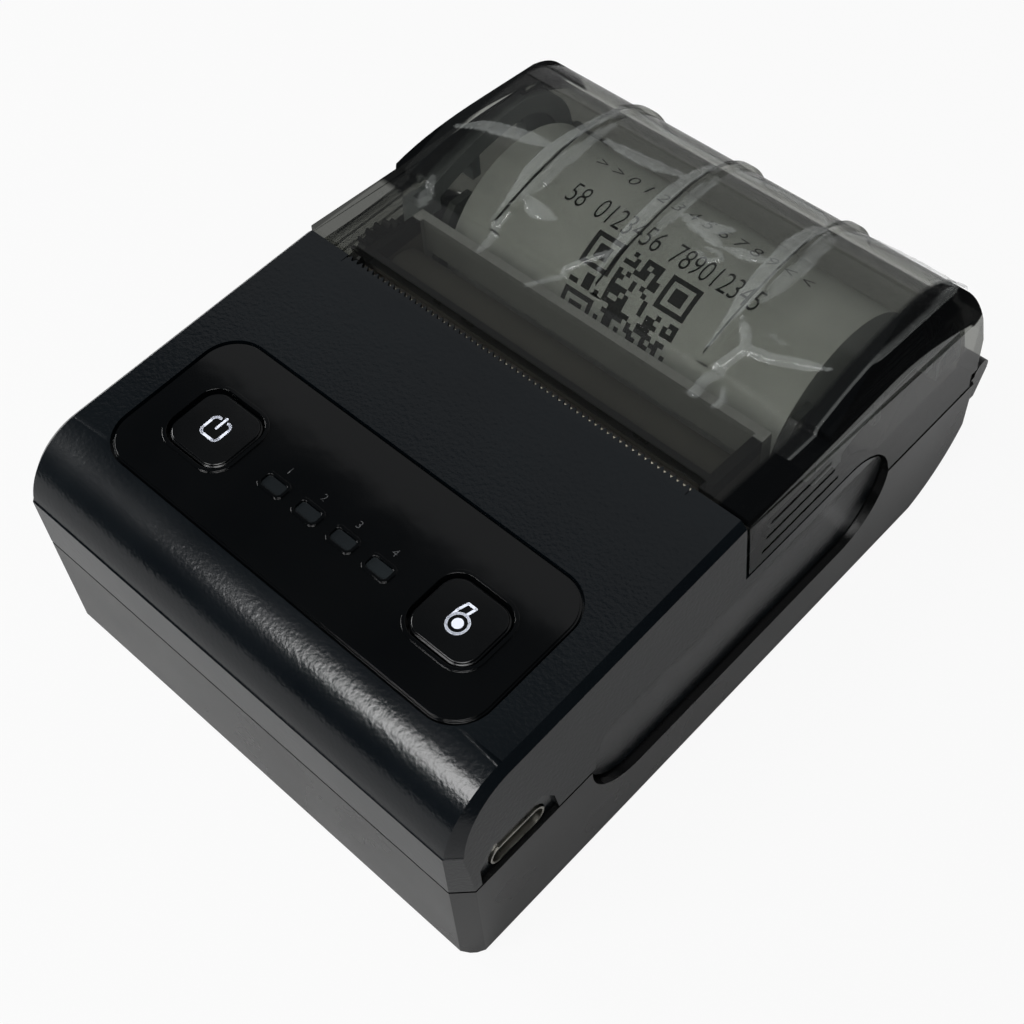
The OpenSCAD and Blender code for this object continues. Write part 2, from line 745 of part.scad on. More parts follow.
// Black side arches under the shoulders, with windows between their posts.
module lid_liner() color([0.03, 0.03, 0.035]) placed() {
    top = lid_wall + 2.4;
    low = top + 3;
    skirt = low + 2.6;
    front = dome_foot_y - 0.6;
    both() intersection() {
        lid_form(lid_wall);
        difference() {
            union() {
                side_view(inner_x - 4, hw) difference() {
                    lid_profile(top);
                    lid_profile(low);
                }
                side_view(inner_x - 2.6, hw) difference() {
                    lid_profile(low);
                    lid_profile(skirt);
                }
            }
            side_view(0, hw) {
                square([front, 60]);
                square([case_l, hinge_z + 5]);
                square([scoop_back, scoop_top + 0.8]);
            }
            // windows
            for (i = [0:2]) translate([inner_x - 3, front + 2.4 + 11.6 * i, crest_z - low - 2.3])
                cube([9, 9.6, 1.7]);
        }
        // hollow behind the arch
        difference() {
            translate([0, 0, 4]) cube([hw, total_l, 60]);
            translate([inner_x - 2.9, front + 1.2, 4]) cube([1.3, total_l, crest_z - low - 4]);
        }
    }
    // posts
    both() intersection() {
        lid_form(lid_wall);
        side_view(inner_x - 2.6, hw) for (i = [1, 2])
            translate([front + 0.6 + 11.6 * i, crest_z - skirt - 3.5]) square([1.6, 6]);
    }
}

// PLATEN ON THE LID
module platen_carrier() color([0.04, 0.04, 0.045]) placed() {
    y1 = carrier_y1;
    y2 = carrier_y2;
    out = cheek_x + 1.5;
    intersection() {
        lid_form(lid_wall);
        difference() {
            union() {
                translate([-out, y1, platen_z + platen_r + 0.5]) cube([2 * out, 1.2, 10]);
                translate([-out, y2 - 1.4, platen_z + 1]) cube([2 * out, 1.4, 10]);
                both() {
                    translate([cheek_x, y1, platen_z]) cube([1.5, y2 - y1, 10]);
                    side_view(cheek_x, out) polygon([[y1, platen_z + 1], [y1 + 1, platen_z - 3],
                        [y2 - 1, platen_z - 3], [y2, platen_z + 1]]);
                }
            }
            both() drum(cheek_x - 1, out + 1, platen_y, platen_z, bush_r);
        }
    }
}
module platen_rubber() color([0.08, 0.08, 0.08]) placed() difference() {
    drum(-platen_l / 2, platen_l / 2, platen_y, platen_z, platen_r);
    drum(-hw, hw, platen_y, platen_z, shaft_r);
}
module platen_shaft() color([0.7, 0.7, 0.72]) placed()
    drum(-gear_x2 - 0.1, frame_x + frame_t + 0.6, platen_y, platen_z, shaft_r);
module platen_bushes() color([0.85, 0.85, 0.8]) placed() both() difference() {
    union() {
        drum(cheek_x, frame_x + frame_t, platen_y, platen_z, bush_r);
    }
    drum(0, hw, platen_y, platen_z, shaft_r + 0.06);
}

// GEAR TRAIN
mesh_angle = atan2(platen_z - reduction_z, platen_y - reduction_y);
module platen_gear() color([0.85, 0.85, 0.82]) placed()
    wheel(-gear_x1, platen_y, platen_z, platen_teeth, mesh_angle + 180, shaft_r + 0.01);
module reduction_gear() color([0.88, 0.88, 0.85]) placed() {
    wheel(-gear_x1, reduction_y, reduction_z, small_teeth, mesh_angle + 180 / small_teeth, 1.06);
    wheel(-gear_x2, reduction_y, reduction_z, large_teeth, motor_dir, 1.06);
    difference() {
        drum(-gear_x2, -gear_x1 - face_w, reduction_y, reduction_z, 2.4);
        drum(-hw, 0, reduction_y, reduction_z, 1.06);
    }
}
module gear_post() color([0.7, 0.7, 0.72]) placed() {
    drum(-post_end, -frame_x, reduction_y, reduction_z, 1);
    drum(-post_end, -post_end + 0.3, reduction_y, reduction_z, 1.5);
}
module motor_body() color([0.5, 0.5, 0.52]) placed() {
    difference() {
        union() {
            drum(-frame_x, -frame_x + 11, motor_y, motor_z, motor_r);
            drum(-frame_x - frame_t, -frame_x + 1, motor_y, motor_z, 2.4);
        }
        drum(-hw, -frame_x + 9, motor_y, motor_z, 0.85);
    }
}
module motor_pinion() color([0.8, 0.68, 0.35]) placed() {
    wheel(-gear_x2, motor_y, motor_z, pinion_teeth, motor_dir + 180 + 180 / pinion_teeth, 0.5);
    drum(-gear_x2 - face_w, -frame_x + 8.6, motor_y, motor_z, 0.78);
}

// PRINT MECHANISM
module side_plate(front_y, low, high) {
    difference() {
        union() {
            translate([front_y, low]) square([platen_y - 2.4 - front_y, high - low]);
            translate([frame_front, seam_z - 4.6])
                square([platen_y + 5.6 - frame_front, platen_z + 7.2 - seam_z]);
        }
        translate([platen_y, platen_z]) circle(r = bush_r + 0.08, $fn = 48);
        translate([platen_y, platen_z]) rotate(-notch_lean) translate([-bush_r - 0.08, 0])
            square([2 * bush_r + 0.16, 10]);
    }
}
module mechanism_frame() color([0.62, 0.62, 0.64]) placed() {
    front = frame_front;
    deck = seam_z - 0.3;
    difference() {
        union() {
            side_view(-frame_x - frame_t, -frame_x)
                side_plate(motor_y - motor_r - 0.2, motor_z - motor_r - 0.2, seam_z - 0.6);
            side_view(frame_x, frame_x + frame_t) side_plate(front, seam_z - 4.6, seam_z - 0.6);
        }
        drum(-hw, 0, motor_y, motor_z, 2.45);
        drum(-hw, 0, reduction_y, reduction_z, 1);
        both() drum(0, hw, head_y - head_t - 1, head_pivot_z, 0.95);
    }
    difference() {
        translate([-frame_x, front, deck]) cube([2 * frame_x, 1, platen_z + 5.2 - deck]);
        translate([-10, front - 1, deck + 1.4]) cube([20, 3, 1.4]);
    }
    difference() {
        translate([-frame_x, front - 3.6, deck]) cube([2 * frame_x, platen_y - front - 0.6, 1]);
        for (s = frame_spots) post(s[0], s[1], 10, 25, 1.15);
    }
}
head_pivot_z = platen_z - 5.2;
module thermal_head() color([0.82, 0.8, 0.74]) placed()
    translate([-paper_x - 0.25, head_y - head_t, platen_z - 6.3]) cube([paper_w + 0.5, head_t, 11]);
module head_heatsink() color([0.72, 0.73, 0.75]) placed() {
    t = 2.2;
    y = head_y - head_t - t;
    difference() {
        translate([-paper_x - 0.85, y, platen_z - 6.5]) cube([paper_w + 1.7, t, 12.3]);
        for (x = [-24:6:24]) translate([x - 1.5, y - 0.1, platen_z + 1.8]) cube([3, 1, 5]);
    }
    both() drum(paper_x + 0.2, frame_x + frame_t, head_y - head_t - 1, head_pivot_z, 0.9);
}
module head_spring() color([0.75, 0.75, 0.78]) placed() {
    y = frame_front + 1;
    back = head_y - head_t - 2.2;
    z = platen_z;
    for (x = [-16, 16]) side_view(x - 4, x + 4) polygon([[y, z - 5.8], [y + 0.3, z - 5.8],
        [back, z - 1.4], [back, z - 0.2], [y + 0.3, z + 4.6], [y, z + 4.6],
        [back - 0.35, z - 0.4], [back - 0.35, z - 1.2]]);
}

// PAPER
// From under the roll up to the nip, its free end just past the platen.
ramp_foot = [roll_y - 11.8, roll_z - 11.78];
ramp_head = [platen_y - 2.8, platen_z - 6.9];
module paper_web() color([0.93, 0.93, 0.9]) placed() {
    t = web_t;
    z = platen_z;
    lip = [0.08, 0.09];
    side_view(-paper_x, paper_x) polygon([
        ramp_foot, ramp_head, [web_y + 0.77, z - 5.5], [web_y + 0.22, z - 3.9], [web_y, z - 2.4],
        [web_y, z + 4.2], [web_y + t, z + 4.2], [web_y + t, z - 2.4], [web_y + 0.22 + t, z - 3.85],
        [web_y + 0.77 + t, z - 5.4], ramp_head + lip, ramp_foot + lip]);
}
module paper_roll() color([0.93, 0.93, 0.9]) placed() difference() {
    drum(-paper_w / 2, paper_w / 2, roll_y, roll_z, roll_r);
    drum(-hw, hw, roll_y, roll_z, core_r);
}
module roll_core() color([0.2, 0.2, 0.2]) placed() difference() {
    drum(-paper_w / 2, paper_w / 2, roll_y, roll_z, core_r);
    drum(-hw, hw, roll_y, roll_z, core_bore);
}
module above_floor(top) {
    intersection() {
        children();
        translate([0, floor_top]) square([case_l, top - floor_top]);
    }
}
bay_step = ramp_foot - [0.1, 0.9];
bay_head = ramp_head + [1.1, -1.3];
module trough() {
    difference() {
        translate([roll_y, roll_z]) circle(r = bay_outer, $fn = 128);
        translate([roll_y, roll_z]) circle(r = bay_inner, $fn = 128);
        translate([0, roll_z + 2]) square([case_l, 60]);
        polygon([[40, 60], [40, -10], [roll_y - 11.4, -10], [roll_y - 11.4, roll_z - 12.6],
            [roll_y, roll_z], [roll_y, 60]]);
    }
    polygon([bay_step + [0.8, -0.2], bay_head, bay_head - [0.7, 0.8], bay_step - [0, 1.1]]);
}
module end_wall() {
    difference() {
        union() {
            translate([roll_y, roll_z]) circle(r = bay_outer, $fn = 128);
            polygon([bay_step + [0.8, -0.2], bay_head + [0, 1.5], bay_head + [-0.6, 0.9],
                bay_head - [0.6, 0.8], bay_step - [0, 1.1]]);
            polygon([bay_step - [0, 1.1], [roll_y - 16.6, roll_z - 4], [roll_y - 8, roll_z],
                [roll_y - 8, roll_z - 15]]);
        }
        translate([roll_y, roll_z]) circle(r = 5.4, $fn = 48);
        translate([roll_y, roll_z + 14]) circle(r = 9, $fn = 64);
        translate([roll_y, roll_z + 9]) square(20);
    }
}
module paper_bay() color([0.06, 0.06, 0.065]) placed() difference() {
    union() {
        side_view(-bay_x - bay_t, bay_x + bay_t) above_floor(60) trough();
        both() side_view(bay_x, bay_x + bay_t) above_floor(roll_z + 12) end_wall();
    }
    // window of the paper sensor
    translate([-2.6, sensor_y - 0.1, bay_head[1] - 11.5]) cube([5.2, 2.8, 10]);
}
sensor_y = bay_head[0] + 5.8;
sensor_z = bay_head[1] - 5.8 * (bay_head[1] - bay_step[1]) / (bay_step[0] - bay_head[0]);
module paper_sensor() color([0.03, 0.03, 0.03]) placed() translate([-2.4, sensor_y, sensor_z])
    side_view(0, 4.8) polygon([[0.1, -5], [2.5, -5], [2.5, -2.4], [0.1, -0.4]]);

// MAIN BOARD
module main_board() color([0.04, 0.22, 0.1]) placed() difference() {
    union() {
        translate([-board_x, board_y1, board_z]) cube([2 * board_x, board_y2 - board_y1, board_t]);
        translate([0, board_y1, board_z]) cube([inner_x - 0.8, 13, board_t]);
    }
    both() {
        for (s = board_spots) post(s[0], s[1], 10, 25, screw_hole);
        post(screw_spots[0][0], screw_spots[0][1], 10, 25, 3);
    }
    for (x = [-3:3:3]) translate([x - 0.8, box_y2 - 2.4, board_z - 1]) cube([1.6, 0.5, 4]);
}
module board_chips() color([0.07, 0.07, 0.08]) placed() {
    z = board_top;
    back = board_y2;
    slab(-10, 15, z, 8, 8, 1.1);
    slab(12, 11, z, 12, 9, 1.6);
    slab(-22, 12, z, 5, 6, 1.8);
    slab(4, 25, z, 5, 5, 1.4);
    slab(18, 24, z, 6, 6, 2.8);
    slab(-6, 22, z, 9, 3.4, 1.7);
    for (i = [0:5]) slab(-26 + i * 2.4, 22, z, 1.2, 2, 0.7);
    for (i = [0:4]) slab(10 + i * 2.6, 31, z, 1.6, 0.8, 0.6);
    for (x = [-22, -15]) post(x, 30, z, z + 5.5, 2.8);
    difference() {
        slab(0, back - 2, z, 22, 3.6, 2.2);
        slab(0, back - 0.6, z + 0.9, 19, 3, 0.6);
    }
}
module usb_shell() color([0.75, 0.75, 0.72]) placed() difference() {
    side_view(usb_x, hw - 0.5) usb_outline(usb_w, usb_h);
    side_view(usb_x + usb_back, hw + 1) usb_outline(usb_w - 2 * usb_wall, usb_h - 2 * usb_wall);
}
module usb_tongue() color([0.05, 0.05, 0.05]) placed() {
    base = usb_x + usb_back + usb_base;
    side_view(usb_x + usb_back, base) usb_outline(usb_w - 2 * usb_wall, usb_h - 2 * usb_wall);
    translate([base, usb_y - 3.35, usb_z - 0.35]) cube([4.6, 6.7, 0.7]);
}
module head_cable() color([0.75, 0.45, 0.12]) placed() {
    z = board_top + 1.1;
    y = head_y - head_t + 0.3;
    front = board_y2 - 2;
    top = platen_z - 6.3;
    side_view(-cable_x, cable_x) polygon([[front, z], [y, z], [y, top], [y - cable_t, top],
        [y - cable_t, z + cable_t], [front, z + cable_t]]);
}
module key_cable() color([0.75, 0.45, 0.12]) placed() {
    y = 22 - 1.55;
    z1 = board_top + 1.7;
    z2 = nose_z + nose_r + key_board_top - key_board_t + (y - nose_r) * tan(top_slope);
    side_view(-9.5, -2.5) polygon([[y, z1], [y + cable_t, z1],
        [y + cable_t + 1.6, (z1 + z2) / 2], [y + cable_t, z2], [y, z2], [y + 1.6, (z1 + z2) / 2]]);
}

// BATTERY
module battery_pack() color([0.12, 0.14, 0.2]) placed()
    translate([pack_play - box_x, box_y1 + pack_play, pack_z])
        cube([2 * (box_x - pack_play), box_y2 - box_y1 - 2 * pack_play, pack_h]);
module battery_contacts() color([0.85, 0.7, 0.3]) placed()
    for (x = [-3:3:3]) translate([x - 0.7, box_y2 - 2.35, pack_top])
        cube([1.4, 0.4, board_top - 0.1 - pack_top]);
module battery_door() color([0.05, 0.05, 0.055]) placed() difference() {
    union() {
        translate([-door_w / 2, 6.3, ground_gap]) cube([door_w, door_l, door_t]);
        translate([-door_w / 2 - 1.2, 6.3, ground_gap + 0.6])
            cube([door_w + 2.4, door_l, door_t - 0.6]);
    }
    for (i = [0:5]) translate([-12, 14 + i * 2.4, ground_gap - 1]) cube([24, 1.2, 1.4]);
}

// FASTENERS
module screw(x, y, z, r, length, head_r, head_h, up) {
    translate([x, y, z]) mirror([0, 0, up ? 0 : 1]) {
        difference() {
            cylinder(r = head_r, h = head_h, $fn = 32);
            translate([-head_r * 0.6, -0.2, -0.1]) cube([head_r * 1.2, 0.4, 0.7]);
            translate([-0.2, -head_r * 0.6, -0.1]) cube([0.4, head_r * 1.2, 0.7]);
        }
        translate([0, 0, head_h]) cylinder(r = r, h = length, $fn = 32);
    }
}
module case_screws() color([0.3, 0.3, 0.32]) placed() both() {
    screw(screw_spots[0][0], screw_spots[0][1], 2.8, 1, 20, 1.9, 1.4, true);
    screw(screw_spots[1][0], screw_spots[1][1], 2.8, 1, 19, 1.9, 1.4, true);
}
module frame_screws() color([0.3, 0.3, 0.32]) placed()
    for (s = frame_spots) screw(s[0], s[1], seam_z + 1.7, 1, 7, 1.9, 1, false);
module board_screws() color([0.3, 0.3, 0.32]) placed() {
    both() for (s = board_spots) screw(s[0], s[1], board_top + 1, 0.8, 8, 1.5, 1, false);
    on_top() for (s = [-1, 1])
        screw(s * key_x, button_y, key_board_top - key_board_t - 1, 0.8, 5, 1.4, 1, true);
}

// HINGE
module hinge_pins() color([0.7, 0.7, 0.72]) placed() both()
    hinge_side(knuckle_x - gap - lid_knuckle - 0.3, knuckle_x + ear_w - 0.8, pin_r);

lower_shell();
upper_shell();
control_panel();
power_button();
feed_button();
power_plunger();
feed_plunger();
light_windows();
tear_bar();
lid_shell();
protective_film();
lid_liner();
platen_carrier();
platen_rubber();
platen_shaft();
platen_gear();
platen_bushes();
hinge_pins();
mechanism_frame();
thermal_head();
head_heatsink();
head_spring();
motor_body();
motor_pinion();
reduction_gear();
gear_post();
paper_bay();
paper_roll();
roll_core();
paper_web();
paper_sensor();
main_board();
board_chips();
usb_shell();
usb_tongue();
key_board();
tact_switches();
status_leds();
battery_pack();
battery_contacts();
head_cable();
key_cable();
battery_door();
case_screws();
frame_screws();
board_screws();
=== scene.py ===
"""Portable thermal printer: finishes, wrinkled film, printed roll and studio round the CAD part."""

import logging
import math
import random
from dataclasses import dataclass, field
from enum import Enum
from typing import Iterable, Sequence

import bmesh
import bpy
from mathutils import Matrix, Vector, noise


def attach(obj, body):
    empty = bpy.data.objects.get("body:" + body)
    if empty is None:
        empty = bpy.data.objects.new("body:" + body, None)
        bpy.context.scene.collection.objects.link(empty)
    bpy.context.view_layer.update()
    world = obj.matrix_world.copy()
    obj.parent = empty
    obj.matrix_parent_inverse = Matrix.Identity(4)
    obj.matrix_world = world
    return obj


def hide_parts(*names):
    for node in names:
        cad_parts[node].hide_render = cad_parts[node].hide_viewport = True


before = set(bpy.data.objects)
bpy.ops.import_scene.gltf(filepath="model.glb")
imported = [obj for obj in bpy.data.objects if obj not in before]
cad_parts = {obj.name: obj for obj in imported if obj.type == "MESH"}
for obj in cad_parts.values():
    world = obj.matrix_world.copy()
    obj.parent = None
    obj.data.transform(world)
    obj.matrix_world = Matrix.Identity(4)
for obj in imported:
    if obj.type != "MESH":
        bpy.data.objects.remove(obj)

LOG = logging.getLogger("printer")
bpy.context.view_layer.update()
# millimetres from the front face of the case to the middle of the part
FRONT_TO_MIDDLE = 52.5
Vec3 = tuple[float, float, float]
Line = Sequence[tuple[float, float]]
Tree = bpy.types.NodeTree
Socket = bpy.types.NodeSocket
Shape = bmesh.types.BMesh


class Body(Enum):
    """Moving bodies that pieces of this scene ride on."""

    CASE = "case"
    LID = "lid"
    ROLL = "roll"
    POWER_KEY = "power_key"
    FEED_KEY = "feed_key"


class Slot(Enum):
    """Names of material slots of the record; no piece of this script is given one."""

    BLACK_GLOSS = "black_gloss"
    BLACK_CAP = "black_cap"
    LENS = "lens"
    WHITE_PART = "white_part"
    CLEAR_FILM = "clear_film"
    CHIPS = "chips"


def spot(x: float, y: float, z: float) -> Vector:
    """Returns a point in metres from millimetres, with y counted from the front face."""
    return Vector((x, y - FRONT_TO_MIDDLE, z)) / 1000


def linear(colour: str) -> tuple[float, float, float, float]:
    """Turns an sRGB hex colour into a linear one.

    Args:
        colour: six hex digits with a leading number sign.

    Returns:
        Red, green, blue and an alpha of 1.
    """
    parts = [int(colour[i : i + 2], 16) / 255 for i in (1, 3, 5)]
    return (*(p / 12.92 if p <= 0.04045 else ((p + 0.055) / 1.055) ** 2.4 for p in parts), 1.0)


def add(tree: Tree, kind: str, sockets: dict | None = None, **settings) -> bpy.types.Node:
    """Adds a node to a tree.

    Args:
        tree: the tree that gets the node.
        kind: the node's type.
        sockets: input name or number to a value, or to the socket that feeds it.
        settings: properties of the node.

    Returns:
        The new node.
    """
    node = tree.nodes.new(kind)
    for name, value in settings.items():
        setattr(node, name, value)
    for name, value in (sockets or {}).items():
        if isinstance(value, Socket):
            tree.links.new(value, node.inputs[name])
        else:
            node.inputs[name].default_value = value
    return node


def place(tree: Tree, size: Vec3) -> Socket:
    """Returns object coordinates scaled so that one unit is a real length.

    Args:
        tree: the material's tree.
        size: length of one unit along each axis, in millimetres.

    Returns:
        The socket with the scaled coordinates.
    """
    coords = add(tree, "ShaderNodeTexCoord").outputs["Object"]
    scale = [1000 / s for s in size]
    return add(tree, "ShaderNodeMapping", {"Vector": coords, "Scale": scale}).outputs["Vector"]


def mixed(tree: Tree, factor, first, second) -> Socket:
    """Mixes two colours.

    Args:
        tree: the material's tree.
        factor: share of the second colour, a number or a socket.
        first: a colour or a socket.
        second: a colour or a socket.

    Returns:
        The socket with the mix.
    """
    node = add(tree, "ShaderNodeMix", data_type="RGBA")
    for socket, value in zip((node.inputs[0], node.inputs[6], node.inputs[7]), (factor, first, second)):
        if isinstance(value, Socket):
            tree.links.new(value, socket)
        else:
            socket.default_value = value
    return node.outputs[2]


def spread(
    tree: Tree, value: Socket, low: float, high: float, start: float = 0.0, end: float = 1.0
) -> Socket:
    """Maps a value from one range to another, clamped.

    Args:
        tree: the material's tree.
        value: the socket that is mapped.
        low: result at the start of the value's range.
        high: result at its end.
        start: where the value's range starts.
        end: where it ends.

    Returns:
        The socket with the result.
    """
    ranges = {"From Min": start, "From Max": end, "To Min": low, "To Max": high}
    return add(tree, "ShaderNodeMapRange", {"Value": value, **ranges}).outputs["Result"]


@dataclass(frozen=True)
class Finish:
    """A named surface finish that is made into one material."""

    name: str

    def material(self) -> bpy.types.Material:
        """Makes the finish's material the first time it is asked for.

        Returns:
            The material.
        """
        found = bpy.data.materials.get(self.name)
        if found:
            return found
        made = bpy.data.materials.new(self.name)
        made.use_nodes = True
        tree = made.node_tree
        tree.nodes.clear()
        add(tree, "ShaderNodeOutputMaterial", {"Surface": self.surface(tree)})
        return made

    def surface(self, tree: Tree) -> Socket:
        """Builds the shader and returns its socket."""
        raise NotImplementedError


Finishes = tuple[tuple[Finish, tuple[str, ...]], ...]


@dataclass(frozen=True)
class MouldedPlastic(Finish):
    """Injection-moulded plastic whose tool was spark-eroded or polished.

    Fields: colour, roughness, size of the grain and its depth in millimetres, second colour that the first
    drifts to, index of refraction, and distance in millimetres over which gloss and colour drift. The grain
    of a real tool is 0.1 to 0.2 mm across and is drawn coarser where it would be too fine to show.
    """

    colour: str
    roughness: float
    grain: float = 0.4
    depth: float = 0.02
    tint: str = "#101214"
    ior: float = 1.5
    drift: float = 14.0

    def tone(self, tree: Tree, share: Socket) -> Socket:
        """Returns the colour, drifting slowly between the two tones."""
        return mixed(tree, share, linear(self.colour), linear(self.tint))

    def surface(self, tree: Tree) -> Socket:
        """Grain from the tool as bump, with slow changes of gloss and colour.

        Args:
            tree: the material's tree.

        Returns:
            The shader's socket.
        """
        at = place(tree, (self.grain,) * 3)
        grain = add(tree, "ShaderNodeTexNoise", {"Vector": at, "Scale": 1.0, "Detail": 2.0}).outputs["Fac"]
        at = place(tree, (self.drift,) * 3)
        slow = add(tree, "ShaderNodeTexNoise", {"Vector": at, "Scale": 1.0, "Detail": 3.0}).outputs["Fac"]
        bump = add(tree, "ShaderNodeBump", {"Height": grain, "Distance": self.depth / 1000, "Strength": 1.0})
        share = spread(tree, slow, 0.0, 1.0, 0.35, 0.65)
        rough = spread(tree, slow, self.roughness * 0.88, self.roughness * 1.12, 0.3, 0.7)
        looks = {
            "Base Color": self.tone(tree, share),
            "Roughness": rough,
            "IOR": self.ior,
            "Normal": bump.outputs["Normal"],
        }
        return add(tree, "ShaderNodeBsdfPrincipled", looks).outputs["BSDF"]


@dataclass(frozen=True)
class RimmedPlastic(MouldedPlastic):
    """Moulded plastic with a black rim and a pale lip.

    Fields: height in millimetres above which it is black, distance behind the part's middle from which it is
    pale instead, and the two colours.
    """

    rim: float = 32.6
    lip: float = 10.9
    black: str = "#050607"
    pale: str = "#8e8f8d"

    def tone(self, tree: Tree, share: Socket) -> Socket:
        """Gives the plastic's colour below the rim, black above it and the pale tone on the lip.

        Args:
            tree: the material's tree.
            share: the slow drift between the plastic's two tones.

        Returns:
            The colour's socket.
        """
        at = add(tree, "ShaderNodeSeparateXYZ", {"Vector": place(tree, (1, 1, 1))}).outputs
        bonded = spread(tree, at["Z"], 0.0, 1.0, self.rim - 0.05, self.rim + 0.05)
        behind = spread(tree, at["Y"], 0.0, 1.0, self.lip - 0.05, self.lip + 0.05)
        front = mixed(tree, bonded, super().tone(tree, share), linear(self.black))
        return mixed(tree, behind, front, linear(self.pale))


@dataclass(frozen=True)
class Metal(Finish):
    """Metal with the fine lines that brushing, turning or rolling leaves.

    Fields: colour, roughness, size of one line along each axis and its depth, in millimetres. Real lines are
    a few hundredths of a millimetre wide and are drawn coarser, so that they show.
    """

    colour: str
    roughness: float
    lines: Vec3 = (0.12, 0.12, 6.0)
    depth: float = 0.004

    def surface(self, tree: Tree) -> Socket:
        """Stretched noise drives roughness, colour and bump.

        Args:
            tree: the material's tree.

        Returns:
            The shader's socket.
        """
        at = place(tree, self.lines)
        lines = add(tree, "ShaderNodeTexNoise", {"Vector": at, "Scale": 1.0, "Detail": 3.0}).outputs["Fac"]
        bump = add(tree, "ShaderNodeBump", {"Height": lines, "Distance": self.depth / 1000, "Strength": 0.8})
        base = linear(self.colour)
        dark = (*(0.75 * c for c in base[:3]), 1.0)
        looks = {
            "Base Color": mixed(tree, lines, dark, base),
            "Roughness": spread(tree, lines, self.roughness * 0.8, self.roughness * 1.2, 0.3, 0.7),
            "Metallic": 1.0,
            "Normal": bump.outputs["Normal"],
        }
        return add(tree, "ShaderNodeBsdfPrincipled", looks).outputs["BSDF"]


@dataclass(frozen=True)
class SmokedPolycarbonate(Finish):
    """Polished see-through smoked polycarbonate with black ends: painted shade for the dark rims of the
    shoulders, partly standing for the black liner behind them.

    Fields, lengths in millimetres: share of the view that one face stops straight on and at a slant, part
    of that share that stops lamp light, distance from the middle where the black of the ends begins and is
    full, height of the black's lower edge, distance behind the part's middle from which that edge falls
    toward the hinge, twice the radius of that fall, distance from which the left end is fully black, share
    of the black that it has in front of that, share of black in full, tint of the clear wall, colour of the
    skin, and roughness.
    """

    clear: float = 0.53
    slant: float = 0.8
    shade: float = 0.3
    ends: tuple[float, float] = (32.9, 33.6)
    floor: float = 36.1
    bend: float = 26.5
    fall: float = 90.0
    start: float = 11.5
    front: float = 0.5
    black: float = 0.97
    tint: str = "#fefffb"
    body: str = "#08090a"
    roughness: float = 0.05

    def surface(self, tree: Tree) -> Socket:
        """Dark glass that stops more light at a slant, where the wall is crossed the long way.

        Args:
            tree: the material's tree.

        Returns:
            The shader's socket.
        """
        at = place(tree, (5, 5, 5))
        haze = add(tree, "ShaderNodeTexNoise", {"Vector": at, "Scale": 1.0, "Detail": 4.0}).outputs["Fac"]
        facing = add(tree, "ShaderNodeLayerWeight", {"Blend": 0.5}).outputs["Facing"]
        seen = spread(tree, facing, self.clear, self.slant, 0.6, 0.85)
        lamp = spread(tree, add(tree, "ShaderNodeLightPath").outputs["Is Shadow Ray"], 1.0, self.shade)
        stopped = add(tree, "ShaderNodeMath", {0: seen, 1: lamp}, operation="MULTIPLY").outputs[0]
        clear = add(tree, "ShaderNodeBsdfTransparent", {"Color": linear(self.tint)})
        looks = {
            "Base Color": linear(self.body),
            "Roughness": spread(tree, haze, self.roughness * 0.7, self.roughness * 1.6, 0.3, 0.7),
            "IOR": 1.585,
        }
        skin = add(tree, "ShaderNodeBsdfPrincipled", looks)
        # a matt black without reflection: painted shade for the dark rims of the shoulders
        looks = {"Base Color": linear(self.body), "Roughness": 0.6, "Specular IOR Level": 0.0}
        painted_shade_black = add(tree, "ShaderNodeBsdfPrincipled", looks)
        wall = add(tree, "ShaderNodeMixShader", {0: stopped, 1: clear.outputs[0], 2: skin.outputs[0]})
        ends = {0: self.end(tree), 1: wall.outputs[0], 2: painted_shade_black.outputs[0]}
        return add(tree, "ShaderNodeMixShader", ends).outputs[0]

    def end(self, tree: Tree) -> Socket:
        """Masks the two ends, which are painted black above an arched edge as shade for the dark rims of the
        shoulders.

        Args:
            tree: the material's tree.

        Returns:
            The socket with the share of black.
        """
        at = add(tree, "ShaderNodeSeparateXYZ", {"Vector": place(tree, (1, 1, 1))}).outputs
        right = spread(tree, at["X"], 0.0, self.black, *self.ends)
        whole = spread(tree, at["X"], self.black, 0.0, -self.ends[1], -self.ends[0])
        gate = spread(tree, at["Y"], self.front, 1.0, self.start, self.start + 1.0)
        left = add(tree, "ShaderNodeMath", {0: whole, 1: gate}, operation="MULTIPLY").outputs[0]
        outer = add(tree, "ShaderNodeMath", {0: right, 1: left}, operation="MAXIMUM").outputs[0]
        behind = spread(tree, at["Y"], 0.0, 40.0, self.bend, self.bend + 40.0)
        fall = add(tree, "ShaderNodeMath", {0: behind, 1: behind}, operation="MULTIPLY").outputs[0]
        bent = {0: fall, 1: 1 / self.fall, 2: at["Z"]}
        level = add(tree, "ShaderNodeMath", bent, operation="MULTIPLY_ADD").outputs[0]
        upper = spread(tree, level, 0.0, 1.0, self.floor - 0.1, self.floor + 0.1)
        return add(tree, "ShaderNodeMath", {0: outer, 1: upper}, operation="MULTIPLY").outputs[0]


